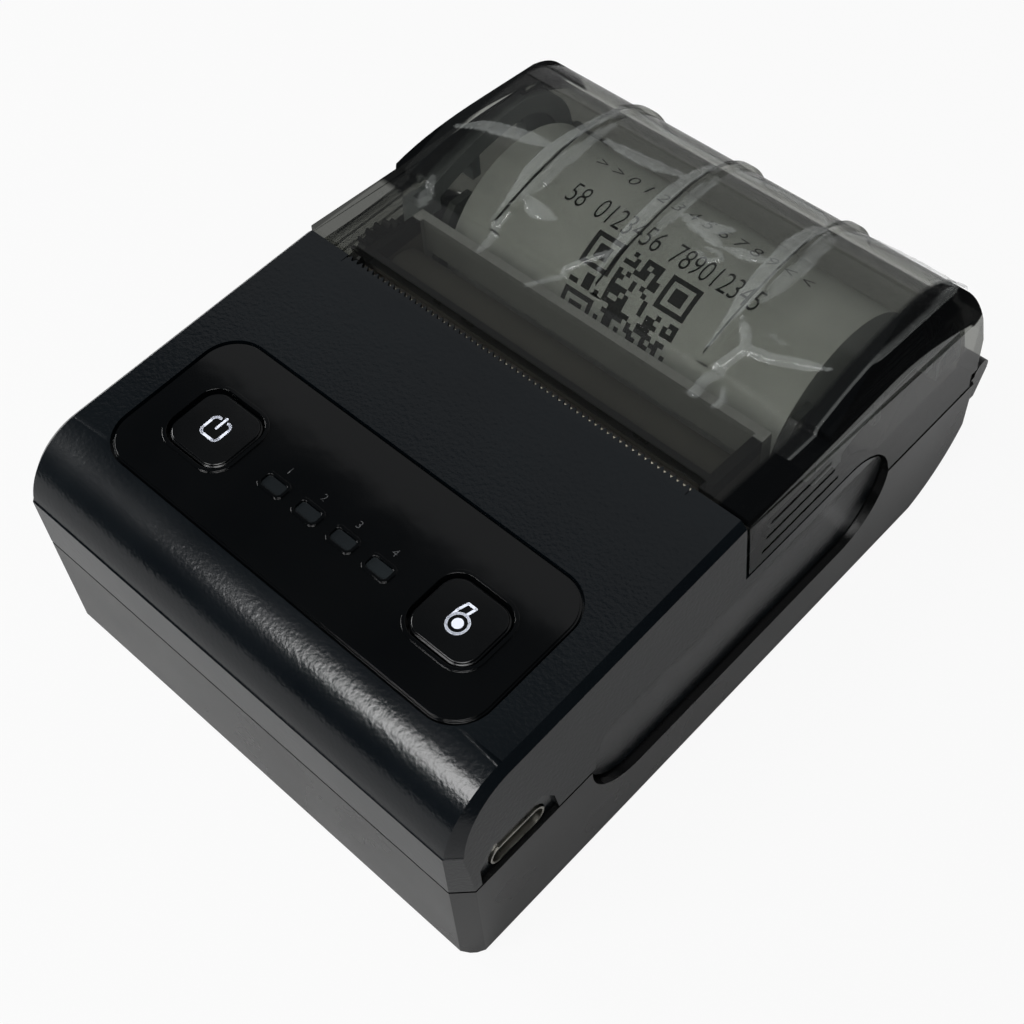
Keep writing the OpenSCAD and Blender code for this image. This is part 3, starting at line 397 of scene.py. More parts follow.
@dataclass(frozen=True)
class ProtectiveFilm(Finish):
    """Thin clear film with painted paleness over its air pockets, standing in for the light they reflect.

    Fields: the mesh attribute that says how much painted reflection it shows, and the colour painted over
    the pockets as reflection.
    """

    attribute: str = "lift"
    pocket: str = "#a6aaa8"

    def surface(self, tree: Tree) -> Socket:
        """Clear where it sticks; over an air pocket a pale painted reflection, and shinier.

        Args:
            tree: the material's tree.

        Returns:
            The shader's socket.
        """
        lift = add(tree, "ShaderNodeAttribute", attribute_name=self.attribute).outputs["Fac"]
        at = place(tree, (1.3, 1.3, 1.3))
        dust_and_sheen = add(tree, "ShaderNodeTexNoise", {"Vector": at, "Scale": 1.0, "Detail": 5.0}).outputs["Fac"]
        # painted reflection: the pale skin colour over the pockets stands in for the light they reflect
        shares = {0: spread(tree, lift, 0.006, 0.2), 1: spread(tree, dust_and_sheen, 0.8, 1.1, 0.3, 0.7)}
        pale = add(tree, "ShaderNodeMath", shares, operation="MULTIPLY").outputs[0]
        clear = add(tree, "ShaderNodeBsdfTransparent", {"Color": linear("#ffffff")})
        looks = {
            "Base Color": linear(self.pocket),
            "Roughness": spread(tree, dust_and_sheen, 0.05, 0.13, 0.3, 0.7),
            "IOR": 1.5,
            "Specular IOR Level": 1.0,
        }
        skin = add(tree, "ShaderNodeBsdfPrincipled", looks)
        both = {0: pale, 1: clear.outputs[0], 2: skin.outputs[0]}
        return add(tree, "ShaderNodeMixShader", both).outputs[0]


@dataclass(frozen=True)
class ThermalPaper(Finish):
    """Smooth coated paper with fine fibres.

    Fields: colour of the coat, and of the fibres that show through it.
    """

    colour: str = "#e6e8e7"
    fibres: str = "#d8dad9"

    def surface(self, tree: Tree) -> Socket:
        """Fibres a few tenths of a millimetre long, drawn coarse enough to show.

        Args:
            tree: the material's tree.

        Returns:
            The shader's socket.
        """
        at = place(tree, (0.5, 0.15, 0.15))
        fibre = add(tree, "ShaderNodeTexNoise", {"Vector": at, "Scale": 1.0, "Detail": 4.0}).outputs["Fac"]
        bump = add(tree, "ShaderNodeBump", {"Height": fibre, "Distance": 0.00001, "Strength": 0.5})
        looks = {
            "Base Color": mixed(tree, fibre, linear(self.fibres), linear(self.colour)),
            "Roughness": 0.55,
            "IOR": 1.5,
            "Normal": bump.outputs["Normal"],
        }
        return add(tree, "ShaderNodeBsdfPrincipled", looks).outputs["BSDF"]


@dataclass(frozen=True)
class SolderMask(Finish):
    """Green lacquer over copper tracks on glass-fibre board.

    Fields: distance between tracks in millimetres, colour of the board and of the tracks.
    """

    pitch: float = 1.27
    lacquer: str = "#0d4426"
    copper: str = "#2c7a4c"

    def surface(self, tree: Tree) -> Socket:
        """Lighter tracks on a square grid that noise breaks up.

        Args:
            tree: the material's tree.

        Returns:
            The shader's socket.
        """
        at = place(tree, (self.pitch,) * 3)
        grid = {"Vector": at, "Scale": 1.0, "Mortar Size": 0.12, "Brick Width": 3.0, "Row Height": 1.0}
        cells = add(tree, "ShaderNodeTexBrick", grid).outputs["Fac"]
        at = place(tree, (4, 4, 4))
        noisy = add(tree, "ShaderNodeTexNoise", {"Vector": at, "Scale": 1.0, "Detail": 2.0}).outputs["Fac"]
        gate = spread(tree, noisy, 0.0, 1.0, 0.45, 0.55)
        track = add(tree, "ShaderNodeMath", {0: cells, 1: gate}, operation="MULTIPLY").outputs[0]
        bump = add(tree, "ShaderNodeBump", {"Height": track, "Distance": 0.00004, "Strength": 0.6})
        looks = {
            "Base Color": mixed(tree, track, linear(self.lacquer), linear(self.copper)),
            "Roughness": 0.28,
            "IOR": 1.5,
            "Normal": bump.outputs["Normal"],
        }
        return add(tree, "ShaderNodeBsdfPrincipled", looks).outputs["BSDF"]


class Surface:
    """Finishes of this printer, each named for its material and how it was made."""

    # fine grain of a spark-eroded tool, which breaks up the highlight along the nose
    ERODED_ABS = MouldedPlastic("spark_eroded_black_abs", "#04080c", 0.21, 0.55, 0.03, "#050a0e")
    # smoother tool, so that the lower shell shows one soft even sheen
    SATIN_ABS = MouldedPlastic("satin_black_abs", "#070808", 0.26, 0.25, 0.006, "#0a0a0b")
    # mirror-smooth plate: deep black with a faint waviness in what it reflects
    GLOSS_ACRYLIC = MouldedPlastic("polished_black_acrylic", "#040506", 0.07, 6.0, 0.012, "#060708", 1.49)
    # polished caps, a little duller than the plate round them
    CAP_ABS = MouldedPlastic("polished_black_abs_caps", "#050607", 0.16, 3.0, 0.008, "#070809")
    # smoked light guide, just paler than the plate while its lamp is off
    LIGHT_GUIDE = MouldedPlastic("smoked_acrylic_light_guide", "#15181a", 0.12, 1.0, 0.006, "#1c2022", 1.49)
    # plain grey bay under the roll, dim through the lid
    BAY_ABS = MouldedPlastic("grey_bay_abs", "#4a4d4c", 0.35, 0.6, 0.01, "#434645")
    # pale arch that still reads as mid grey through the smoked lid
    ARCH_ABS = MouldedPlastic("moulded_grey_arch_abs", "#a2a7aa", 0.4, 0.6, 0.01, "#989da0")
    # warm grey frame, black above a set height and paler behind a set line, seen with a dark outline through
    # the lid
    CARRIER_ABS = RimmedPlastic("grey_abs_dark_top_pale_back", "#6b6660", 0.5, 0.6, 0.01, "#605c57")
    # plain black of gears and bushes that drops back behind the grey
    INNER_ABS = MouldedPlastic("inner_black_abs", "#0a0b0c", 0.4, 0.6, 0.01)
    # dull off-white of the plungers and lamp bodies, plain beside the black caps
    WHITE_ABS = MouldedPlastic("moulded_white_abs", "#cfcec8", 0.4, 0.5, 0.01, "#c6c5be")
    # smooth black tongue that sets off the bright socket round it
    TONGUE = MouldedPlastic("moulded_black_lcp", "#08090a", 0.35, 0.5, 0.002)
    # chalky black moulding compound with no clear highlight
    EPOXY = MouldedPlastic("moulded_epoxy_chip", "#111213", 0.5, 0.2, 0.01)
    # ground rubber, dusty grey and nearly without gloss
    RUBBER = MouldedPlastic("ground_silicone_rubber", "#5a5853", 0.7, 0.15, 0.02, "#514f4a")
    # shrunk sleeve with soft wrinkles and a plastic shine
    BATTERY_WRAP = MouldedPlastic("shrink_wrap_pvc", "#171b28", 0.3, 2.0, 0.03, "#1c2130")
    # amber film with a smooth sheen
    POLYIMIDE = MouldedPlastic("flat_polyimide_cable", "#a85c17", 0.3, 1.0, 0.01, "#8c4810")
    # brown-grey card tube, dry and mottled
    CORE_BOARD = MouldedPlastic("wound_core_board", "#4a4640", 0.8, 0.6, 0.03, "#3c3833")
    # cream ceramic strip under glass, with a crisp highlight
    ALUMINA = MouldedPlastic("glazed_alumina", "#d8d2c2", 0.25, 0.4, 0.004, "#cfc8b6", 1.6)
    # cool white ink, the brightest mark on the black
    INK_WHITE = MouldedPlastic("pad_printed_white_ink", "#dfe3ee", 0.45, 0.2, 0.004, "#d6dbe8")
    # dark grey ink, barely paler than the panel under it
    INK_GREY = MouldedPlastic("pad_printed_grey_ink", "#26282a", 0.5, 0.2, 0.004, "#333537")
    # heat-developed dye, a soft black on the paper
    THERMAL_BLACK = MouldedPlastic("developed_thermal_dye", "#0b0b0d", 0.55, 0.15, 0.004, "#121214")
    # rolled sheet with dull zinc, fine lines up the frame
    PLATED_STEEL = Metal("zinc_plated_steel", "#a8a9ab", 0.32)
    # turned pins with a bright streak and fine lines along them
    TURNED_STEEL = Metal("turned_steel", "#bdbdc0", 0.22, (6.0, 0.12, 0.12))
    # springy sheet, slightly yellow and shiny
    SHEET_STAINLESS = Metal("deep_drawn_stainless", "#b9b6aa", 0.25, (0.15, 0.15, 3.0))
    # drawn socket with almost no lines, a warm bright ring on the dark side
    DRAWN_NICKEL = Metal("drawn_nickel_plated_shell", "#c2c0b6", 0.3, (2.0, 2.0, 2.0), 0.001)
    # blackened screws, darker than steel but still metal
    BLACK_OXIDE = Metal("black_oxide_screw_steel", "#2a2a2c", 0.4)
    # milled bar with even pale lines
    ALUMINIUM = Metal("milled_aluminium", "#b9bbbe", 0.35)
    # small yellow pinion with fine cutting marks
    BRASS = Metal("hobbed_brass", "#c4a25a", 0.3)
    # bright warm contacts
    GOLD = Metal("gold_plated_contact", "#d3a950", 0.2)
    # dark glass look: clear straight on, darker at a slant, painted shade in black at both ends
    SMOKED = SmokedPolycarbonate("polished_smoked_polycarbonate")
    # nothing where it sticks; over air a milky painted reflection, with sharp glints
    FILM = ProtectiveFilm("clear_protective_film")
    # smooth coated paper, matt white with hardly any fibre
    PAPER = ThermalPaper("coated_thermal_paper")
    # glossy green with paler tracks under the lacquer
    BOARD = SolderMask("green_solder_mask")


def dress(finish: Finish, nodes: Iterable[str]) -> None:
    """Gives CAD nodes a finish.

    Args:
        finish: the finish they get.
        nodes: names of the nodes.
    """
    for name in nodes:
        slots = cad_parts[name].data.materials
        slots.clear()
        slots.append(finish.material())
        LOG.info("%s: %s", name, finish.name)


def new_piece(name: str, mesh: Shape, finish: Finish, body: Body) -> bpy.types.Object:
    """Turns a bmesh into a piece that rides on a body.

    Args:
        name: name of the piece.
        mesh: its shape, already in place, in metres.
        finish: its finish.
        body: the body it moves with.

    Returns:
        The piece's object.
    """
    data = bpy.data.meshes.new(name)
    mesh.to_mesh(data)
    mesh.free()
    data.materials.append(finish.material())
    piece = bpy.data.objects.new(name, data)
    bpy.context.scene.collection.objects.link(piece)
    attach(piece, body.value)
    LOG.info("%s: %s, %d faces", name, finish.name, len(data.polygons))
    return piece


def eased(name: str, finish: Finish, body: Body, width: float) -> bpy.types.Object:
    """Puts a merged copy with rounded edges in the place of a CAD node.

    Args:
        name: the CAD node.
        finish: its finish.
        body: the body it moves with.
        width: width of the rounding, in millimetres.

    Returns:
        The copy's object.
    """
    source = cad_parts[name]
    mesh = bmesh.new()
    mesh.from_mesh(source.data)
    bmesh.ops.transform(mesh, matrix=source.matrix_world, verts=mesh.verts)
    bmesh.ops.remove_doubles(mesh, verts=mesh.verts, dist=0.000002)
    bmesh.ops.dissolve_limit(mesh, angle_limit=math.radians(0.4), verts=mesh.verts, edges=mesh.edges)
    bmesh.ops.recalc_face_normals(mesh, faces=mesh.faces)
    for f in mesh.faces:
        f.smooth = True
    piece = new_piece(f"{name}_eased", mesh, finish, body)
    piece.data.set_sharp_from_angle(angle=math.radians(35))
    edges = piece.modifiers.new("edges", "BEVEL")
    edges.width = width / 1000
    edges.segments = 3
    edges.limit_method = "ANGLE"
    edges.angle_limit = math.radians(40)
    even = piece.modifiers.new("even", "WEIGHTED_NORMAL")
    even.weight = 100
    even.keep_sharp = True
    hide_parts(name)
    return piece


def stroke(mesh: Shape, points: Line, width: float) -> None:
    """Adds a flat band along a line of points, in millimetres in the plane.

    Args:
        mesh: the bmesh that gets the band.
        points: the line's points.
        width: width of the band.
    """
    for (x0, y0), (x1, y1) in zip(points, points[1:]):
        run = Vector((x1 - x0, y1 - y0))
        made = bmesh.ops.create_grid(mesh, x_segments=1, y_segments=1, size=0.5)
        middle = Matrix.Translation(((x0 + x1) / 2, (y0 + y1) / 2, 0))
        turn = Matrix.Rotation(math.atan2(run.y, run.x), 4, "Z")
        shape = middle @ turn @ Matrix.Diagonal((run.length, width, 1, 1))
        bmesh.ops.transform(mesh, matrix=shape, verts=made["verts"])
    for x, y in points:
        at = Matrix.Translation((x, y, 0))
        bmesh.ops.create_circle(mesh, cap_ends=True, segments=16, radius=width / 2, matrix=at)


def ring(
    mesh: Shape, radius: float, width: float, start: float, end: float, at: tuple[float, float]
) -> None:
    """Adds a flat band along an arc, in millimetres in the plane.

    Args:
        mesh: the bmesh that gets the band.
        radius: radius of the arc.
        width: width of the band.
        start: angle where the arc starts, in degrees.
        end: angle where it ends.
        at: the arc's middle.
    """
    count = max(6, round(abs(end - start) / 10))
    angles = [math.radians(start + (end - start) * i / count) for i in range(count + 1)]
    stroke(mesh, [(at[0] + radius * math.cos(a), at[1] + radius * math.sin(a)) for a in angles], width)


def lettering(text: str, height: float) -> Shape:
    """Returns digits or signs as flat faces, centred, in millimetres.

    Args:
        text: the characters.
        height: height of a digit.

    Returns:
        The faces, in a bmesh of their own.
    """
    curve = bpy.data.curves.new("digits", "FONT")
    curve.body = text
    curve.align_x = "CENTER"
    curve.align_y = "CENTER"
    # a digit of Blender's own font is 0.7 of the font's size high
    curve.size = height / 0.7
    curve.resolution_u = 3
    # strokes a little thinner than the font's own
    curve.offset = -0.012 * height
    holder = bpy.data.objects.new("digits", curve)
    bpy.context.scene.collection.objects.link(holder)
    bpy.context.view_layer.update()
    flat = bpy.data.meshes.new_from_object(holder.evaluated_get(bpy.context.evaluated_depsgraph_get()))
    mesh = bmesh.new()
    mesh.from_mesh(flat)
    bpy.data.objects.remove(holder)
    bpy.data.curves.remove(curve)
    bpy.data.meshes.remove(flat)
    return mesh


def thicken(mesh: Shape, height: float) -> None:
    """Makes flat faces into a closed skin of the given height in millimetres.

    Args:
        mesh: flat faces in the plane.
        height: height of the skin.
    """
    bmesh.ops.remove_doubles(mesh, verts=mesh.verts, dist=0.0005)
    made = bmesh.ops.extrude_face_region(mesh, geom=mesh.faces[:])
    top = [v for v in made["geom"] if isinstance(v, bmesh.types.BMVert)]
    bmesh.ops.translate(mesh, verts=top, vec=(0, 0, height))
    bmesh.ops.recalc_face_normals(mesh, faces=mesh.faces)


@dataclass
class Dressed:
    """CAD nodes that need nothing but their finishes."""

    finishes: Finishes = ()

    def build(self) -> None:
        """Dresses the nodes."""
        for finish, nodes in self.finishes:
            dress(finish, nodes)


@dataclass
class CaseShells(Dressed):
    """The two black shells, the tear bar and the battery door."""

    finishes: Finishes = (
        (Surface.ERODED_ABS, ("upper_shell", "tear_bar")),
        (Surface.SATIN_ABS, ("lower_shell", "battery_door")),
        (Surface.BLACK_OXIDE, ("case_screws",)),
    )


@dataclass
class ControlPanel:
    """Glossy panel, its caps with their printed signs, and the status lights.

    Fields: slope of the top in radians and, in millimetres, the nose under it, places of the caps and of the
    lights with their numbers on the slope, and thickness of the ink.
    """

    slope: float = math.radians(1.84)
    nose_radius: float = 10.5
    nose_height: float = 25.6
    button_x: float = 21.2
    button_y: float = 9.7
    light_pitch: float = 6.1
    light_y: float = 8.6
    number_up: float = 2.7
    ink: float = 0.03

    def top(self) -> Matrix:
        """Leads from the sloping top to the scene.

        Returns:
            The matrix from millimetres on the top to metres.
        """
        turn = Matrix.Rotation(self.slope, 4, "X")
        axis = Matrix.Translation(spot(0, self.nose_radius, self.nose_height))
        return axis @ turn @ Matrix.Translation((0, 0, self.nose_radius / 1000)) @ Matrix.Scale(0.001, 4)

    def sign(self, name: str, mesh: Shape, at: tuple[float, float], body: Body, finish: Finish) -> None:
        """Places a flat sign on the top as a thin printed skin.

        Args:
            name: name of the piece.
            mesh: flat faces round the origin, in millimetres.
            at: place across the top and up its slope.
            body: the body it moves with.
            finish: its ink.
        """
        thicken(mesh, self.ink)
        bmesh.ops.transform(mesh, matrix=self.top() @ Matrix.Translation((*at, 0.004)), verts=mesh.verts)
        new_piece(name, mesh, finish, body)

    def power_sign(self) -> Shape:
        """Draws the stand-by sign, an open rounded square with a bar.

        Returns:
            Its flat faces, in millimetres.
        """
        mesh = bmesh.new()
        half, corner, width = 1.5, 0.7, 0.38
        flat = half - corner
        for side in (1, -1):
            across = 90 - side * 90
            stroke(mesh, [(side * 0.7, half), (side * flat, half)], width)
            ring(mesh, corner, width, 90, across, (side * flat, flat))
            stroke(mesh, [(side * half, flat), (side * half, -flat)], width)
            ring(mesh, corner, width, across, across - side * 90, (side * flat, -flat))
        stroke(mesh, [(-flat, -half), (flat, -half)], width)
        stroke(mesh, [(0, 0.1), (0, 1.9)], width)
        return mesh

    def feed_sign(self) -> Shape:
        """Draws the paper feed sign, a roll with its strip.

        Returns:
            Its flat faces, in millimetres.
        """
        mesh = bmesh.new()
        width = 0.34
        hub = (0.1, -0.5)
        ring(mesh, 1.35, width, 0, 360, hub)
        at = Matrix.Translation((*hub, 0))
        bmesh.ops.create_circle(mesh, cap_ends=True, segments=32, radius=0.72, matrix=at)
        stroke(mesh, [(-1.25, -0.5), (-1.15, 0.9), (-0.75, 2.2), (0.45, 2.2), (0.1, 0.85)], width)
        return mesh

    def build(self) -> None:
        """Dresses the panel and prints the signs and the plain numbers."""
        eased("control_panel", Surface.GLOSS_ACRYLIC, Body.CASE, 0.25)
        eased("power_button", Surface.CAP_ABS, Body.POWER_KEY, 0.3)
        eased("feed_button", Surface.CAP_ABS, Body.FEED_KEY, 0.3)
        eased("light_windows", Surface.LIGHT_GUIDE, Body.CASE, 0.15)
        dress(Surface.WHITE_ABS, ("power_plunger", "feed_plunger", "status_leds"))
        at = (-self.button_x, self.button_y)
        self.sign("power_sign", self.power_sign(), at, Body.POWER_KEY, Surface.INK_WHITE)
        at = (self.button_x, self.button_y)
        self.sign("feed_sign", self.feed_sign(), at, Body.FEED_KEY, Surface.INK_WHITE)
        for i in range(4):
            at = ((i - 1.5) * self.light_pitch, self.light_y + self.number_up)
            self.sign(f"light_number_{i + 1}", lettering(str(i + 1), 1.1), at, Body.CASE, Surface.INK_GREY)


@dataclass
class Blister:
    """A flat air pocket under the film, like a tent over a bent line.

    Fields, lengths in millimetres: points of the line across the lid and from the front face, reach of the
    tent on each side, its height, how pale its painted reflection looks, and the share of the reach left at
    the line's first and last end.
    """

    line: tuple[tuple[float, float], ...]
    reach: float
    height: float = 0.3
    pale: float = 1.0
    first: float = 0.2
    last: float = 0.2

    def rise(self, x: float, y: float) -> tuple[float, float]:
        """Tells how high and how pale the film is at a point.

        Args:
            x: place across the lid, in millimetres.
            y: distance from the front face, in millimetres.

        Returns:
            The share of the pocket's height, and the share of its painted paleness, a stand-in for
            reflection, with its crisp border.
        """
        high, pale = 0.0, 0.0
        count = len(self.line) - 1
        for i, ((x0, y0), (x1, y1)) in enumerate(zip(self.line, self.line[1:])):
            dx, dy = x1 - x0, y1 - y0
            t = max(0.0, min(1.0, ((x - x0) * dx + (y - y0) * dy) / (dx * dx + dy * dy)))
            along = (i + t) / count
            ends = self.first + (1 - self.first) * min(1.0, along * 3)
            ends = min(ends, self.last + (1 - self.last) * min(1.0, (1 - along) * 3))
            inside = 1 - math.hypot(x - x0 - t * dx, y - y0 - t * dy) / (self.reach * ends)
            if inside > 0:
                high = max(high, min(1.0, inside * 1.6) * ends)
                core = 1 - 0.4 * min(1.0, max(0.0, inside - 0.2) * 5)
                pale = max(pale, min(1.0, inside * 6) * core)
        return high, pale


@dataclass
class Lid:
    """The smoked lid and the clear film that still covers its dome.

    Fields, in millimetres from the front face and the table: crest of the dome with the radii of its long
    and rear bow, foot and front edge of the dome, shoulder at its sides, ribs and how far the film tents
    beside them, the film's half width, front edge, foot behind the crest, grid step, thickness and gap to
    the lid, and step and count of the finer points that its profile is walked with.
    """

    crest_y: float = 87.7
    crest_z: float = 41.2
    bow: float = 56.0
    rear: float = 15.7
    foot_y: float = 67.5
    dip_z: float = 36.3
    edge_y: float = 47.5
    edge_z: float = 37.52
    shoulder_y: float = 50.6
    shoulder_z: float = 35.97
    shoulder_x: float = 26.73
    shoulder_r: float = 11.0
    shoulder_dip: float = math.radians(4.7)
    rib_pitch: float = 18.0
    rib_half: float = 0.6
    rib_height: float = 0.6
    rib_tent: float = 0.7
    film_half: float = 35.6
    film_front: float = 61.9
    film_foot: float = 23.0
    film_step: float = 0.31
    film_wall: float = 0.05
    film_gap: float = 0.03
    trace: float = 0.02
    traces: int = 2074
    blisters: list[Blister] = field(default_factory=list)

    def __post_init__(self) -> None:
        """Lays out the air pockets, in millimetres across and from the front."""
        self.blisters = [
            Blister(((-34.1, 76.4), (-30.7, 78.7), (-26.2, 80.1), (-22.2, 81.0), (-19.7, 81.6)), 1.1),
            Blister(
                (
                    (-17.6, 93.0), (-18.4, 89.0), (-19.2, 84.6), (-19.8, 81.0),
                    (-19.9, 76.7), (-19.4, 72.6), (-19.0, 67.5),
                ),
                1.1, 0.45, 1.0, 0.7, 0.1,
            ),
            Blister(
                ((-16.4, 89.7), (-16.6, 83.6), (-17.0, 79.8), (-17.0, 76.8), (-17.4, 74.1), (-18.2, 70.7)),
                0.9, 0.35, 0.8, 0.6, 0.1,
            ),
            Blister(((-15.0, 86.6), (-11.0, 86.6), (-6.4, 87.1), (-1.9, 88.2)), 1.0, 0.25, 0.9, 0.4, 0.3),
            Blister(((-31.0, 68.3), (-30.4, 66.3), (-29.2, 64.2)), 0.95, 0.3, 0.5, 0.6, 0.4),
            Blister(((-17.4, 72.8), (-14.9, 72.1), (-11.9, 72.4)), 1.15, 0.3, 1.0, 0.4, 0.3),
            Blister(((-17.4, 69.5), (-17.9, 67.1), (-17.2, 63.3)), 0.6, 0.3, 0.9, 0.5, 0.8),
            Blister(((-8.1, 62.8), (-4.9, 68.7), (-2.4, 72.2)), 0.5, 0.3, 0.9, 0.6, 0.8),
            Blister(
                ((-0.8, 93.0), (-1.7, 87.1), (-2.0, 80.7), (-1.9, 74.6), (-1.6, 69.5)),
                1.1, 0.45, 1.0, 0.8, 0.2,
            ),
            Blister(((1.2, 90.6), (1.0, 84.0), (1.0, 76.0)), 0.7, 0.35, 0.8, 0.5, 0.1),
            Blister(((-16.6, 95.2), (-10.6, 94.2), (-4.7, 94.4), (-1.2, 94.6)), 0.55, 0.4, 1.0, 0.8, 0.8),
            Blister(((1.8, 82.4), (5.2, 82.2), (8.8, 84.2)), 1.15, 0.3, 1.0, 0.3, 0.4),
            Blister(((5.2, 82.2), (7.4, 81.6), (9.0, 81.2)), 0.9, 0.3, 1.0, 0.9, 0.4),
            Blister(
                ((7.4, 78.9), (9.2, 78.3), (10.6, 79.5), (9.6, 80.3), (7.9, 79.9)),
                0.35, 0.25, 0.9, 0.8, 0.8,
            ),
            Blister(((9.9, 81.2), (12.7, 82.0), (15.9, 82.9)), 0.85, 0.3, 1.0, 0.4, 0.3),
            Blister(
                ((17.0, 91.5), (16.3, 87.1), (16.5, 82.4), (16.8, 78.1), (17.2, 73.8), (17.5, 68.3)),
                1.3, 0.45, 1.0, 0.9, 0.1,
            ),
            Blister(((19.2, 91.0), (19.6, 85.3), (19.4, 80.7), (18.8, 76.8)), 1.0, 0.35, 0.8, 0.9, 0.1),
            Blister(
                ((0.9, 94.9), (3.4, 94.9), (8.0, 95.9), (14.5, 95.6), (17.0, 94.0)),
                0.6, 0.4, 1.0, 0.8, 0.9,
            ),
            Blister(((19.5, 94.5), (22.6, 96.6), (28.4, 98.2), (34.0, 98.0)), 0.6, 0.4, 0.9, 0.8, 0.8),
            Blister(((18.5, 74.0), (20.2, 72.8), (21.3, 71.0)), 0.7, 0.3, 1.0, 0.3, 1.0),
            Blister(((21.3, 71.0), (25.1, 71.7), (28.9, 73.2), (32.0, 74.5)), 0.75, 0.4, 1.0, 1.0, 0.15),
            Blister(((21.3, 71.0), (20.4, 67.9), (19.8, 65.9), (20.1, 62.6)), 0.85, 0.4, 1.0, 0.9, 0.9),
            Blister(((22.4, 65.6), (23.7, 64.2), (23.4, 62.6)), 0.5, 0.35, 0.9, 0.7, 0.7),
            Blister(((22.2, 74.3), (25.3, 74.0)), 0.3, 0.2, 0.6, 0.4, 0.4),
            Blister(((35.5, 62.0), (35.5, 74.0), (35.5, 86.0), (35.3, 99.0)), 0.45, 0.35, 0.6, 0.8, 1.0),
            Blister(((33.0, 95.0), (34.2, 97.0), (35.4, 98.5)), 0.7, 0.45, 1.0, 0.5, 1.0),
        ]

    def height(self, y: float) -> float:
        """Works out the lid's profile along its middle.

        Args:
            y: distance from the front face, in millimetres.

        Returns:
            The height of the profile there.
        """
        if y < self.foot_y:
            return self.edge_z + (self.dip_z - self.edge_z) * (y - self.edge_y) / (self.foot_y - self.edge_y)
        if y < self.crest_y:
            return self.crest_z - self.bow + math.sqrt(self.bow**2 - (y - self.crest_y) ** 2)
        fall = min(y - self.crest_y, self.rear)
        return self.crest_z - self.rear + math.sqrt(self.rear**2 - fall**2)

    def skin(self, x: float, y: float, z: float) -> float:
        """Lowers a height to the rounded shoulder where that lies under it.

        Args:
            x: place across the lid, in millimetres.
            y: distance from the front face.
            z: height of the middle profile there.

        Returns:
            The height of the lid's skin.
        """
        out = max(0.0, abs(x) - self.shoulder_x)
        over = math.sqrt(max(0.0, self.shoulder_r**2 - out**2))
        fall = (y - self.shoulder_y) * math.sin(self.shoulder_dip)
        return min(z, self.shoulder_z + (over - fall) / math.cos(self.shoulder_dip))

    def path(self, low: float) -> list[tuple[float, float]]:
        """Walks along the profile from the film's front edge in even steps.

        Args:
            low: height behind the crest where it ends, in millimetres.

        Returns:
            Distance from the front face and height of each point.
        """
        fine = [(y, self.height(y)) for y in (self.film_front + i * self.trace for i in range(self.traces))]
        fine = [p for p in fine if p[0] < self.crest_y or p[1] > low]
        points = [fine[0]]
        for p in fine[1:]:
            if math.dist(p, points[-1]) >= self.film_step:
                points.append(p)
        return points

    def lifted(self, x: float, y: float) -> tuple[float, float]:
        """Tells how the film lies at a point.

        Args:
            x: place across the lid, in millimetres.
            y: distance from the front face, in millimetres.

        Returns:
            How far it stands off the skin, in millimetres, and how pale its painted reflection looks.
        """
        rise, pale = 0.0, 0.0
        if y > self.foot_y - 0.6:
            for k in (-1, 0, 1):
                away = abs(x - k * self.rib_pitch) - self.rib_half
                if away < self.rib_tent:
                    rise = max(rise, (self.rib_height + 0.05) * min(1.0, 1 - away / self.rib_tent))
        for b in self.blisters:
            share, white = b.rise(x, y)
            if share > 0:
                rise = max(rise, b.height * share)
                pale = max(pale, b.pale * white)
        crease = noise.fractal(Vector((x * 0.5, y * 0.5, 1.7)), 0.8, 2.1, 3)
        return rise * (1 + 0.25 * crease) + self.film_gap, pale

    def film(self) -> bpy.types.Object:
        """Builds the wrinkled film from a grid laid on the dome.

        Returns:
            The film's object.
        """
        rows = self.path(self.film_foot)
        columns = round(2 * self.film_half / self.film_step)
        mesh = bmesh.new()
        bmesh.ops.create_grid(mesh, x_segments=columns, y_segments=len(rows) - 1, size=0.5)
        # the lift attribute holds how much painted reflection the film shows over the pockets, not its
        # height
        layer = mesh.verts.layers.float.new("lift")
        lifts = {}
        for v in mesh.verts:
            y, z = rows[round((v.co.y + 0.5) * (len(rows) - 1))]
            x = 2 * self.film_half * v.co.x
            lifts[v.index], v[layer] = self.lifted(x, y)
            v.co = spot(x, y, self.skin(x, y, z))
        mesh.normal_update()
        normals = [v.normal.copy() for v in mesh.verts]
        for v, normal in zip(mesh.verts, normals):
            v.co += normal * (lifts[v.index] / 1000)
        for f in mesh.faces:
            f.smooth = True
        piece = new_piece("wrinkled_film", mesh, Surface.FILM, Body.LID)
        wall = piece.modifiers.new("wall", "SOLIDIFY")
        wall.thickness = self.film_wall / 1000
        wall.offset = 1.0
        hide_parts("protective_film")
        return piece

    def build(self) -> None:
        """Dresses the lid and lays the film on it."""
        dress(Surface.SMOKED, ("lid_shell",))
        dress(Surface.CARRIER_ABS, ("platen_carrier",))
        dress(Surface.ARCH_ABS, ("lid_liner",))
        dress(Surface.TURNED_STEEL, ("hinge_pins",))
        self.film()


@dataclass
class PrintMechanism(Dressed):
    """Frame, head, platen, gears and motor."""

    finishes: Finishes = (
        (Surface.PLATED_STEEL, ("mechanism_frame", "motor_body")),
        (Surface.TURNED_STEEL, ("platen_shaft", "gear_post")),
        (Surface.SHEET_STAINLESS, ("head_spring",)),
        (Surface.ALUMINIUM, ("head_heatsink",)),
        (Surface.ALUMINA, ("thermal_head",)),
        (Surface.RUBBER, ("platen_rubber",)),
        (Surface.INNER_ABS, ("platen_bushes", "platen_gear", "reduction_gear")),
        (Surface.BRASS, ("motor_pinion",)),
        (Surface.BLACK_OXIDE, ("frame_screws", "board_screws")),
    )


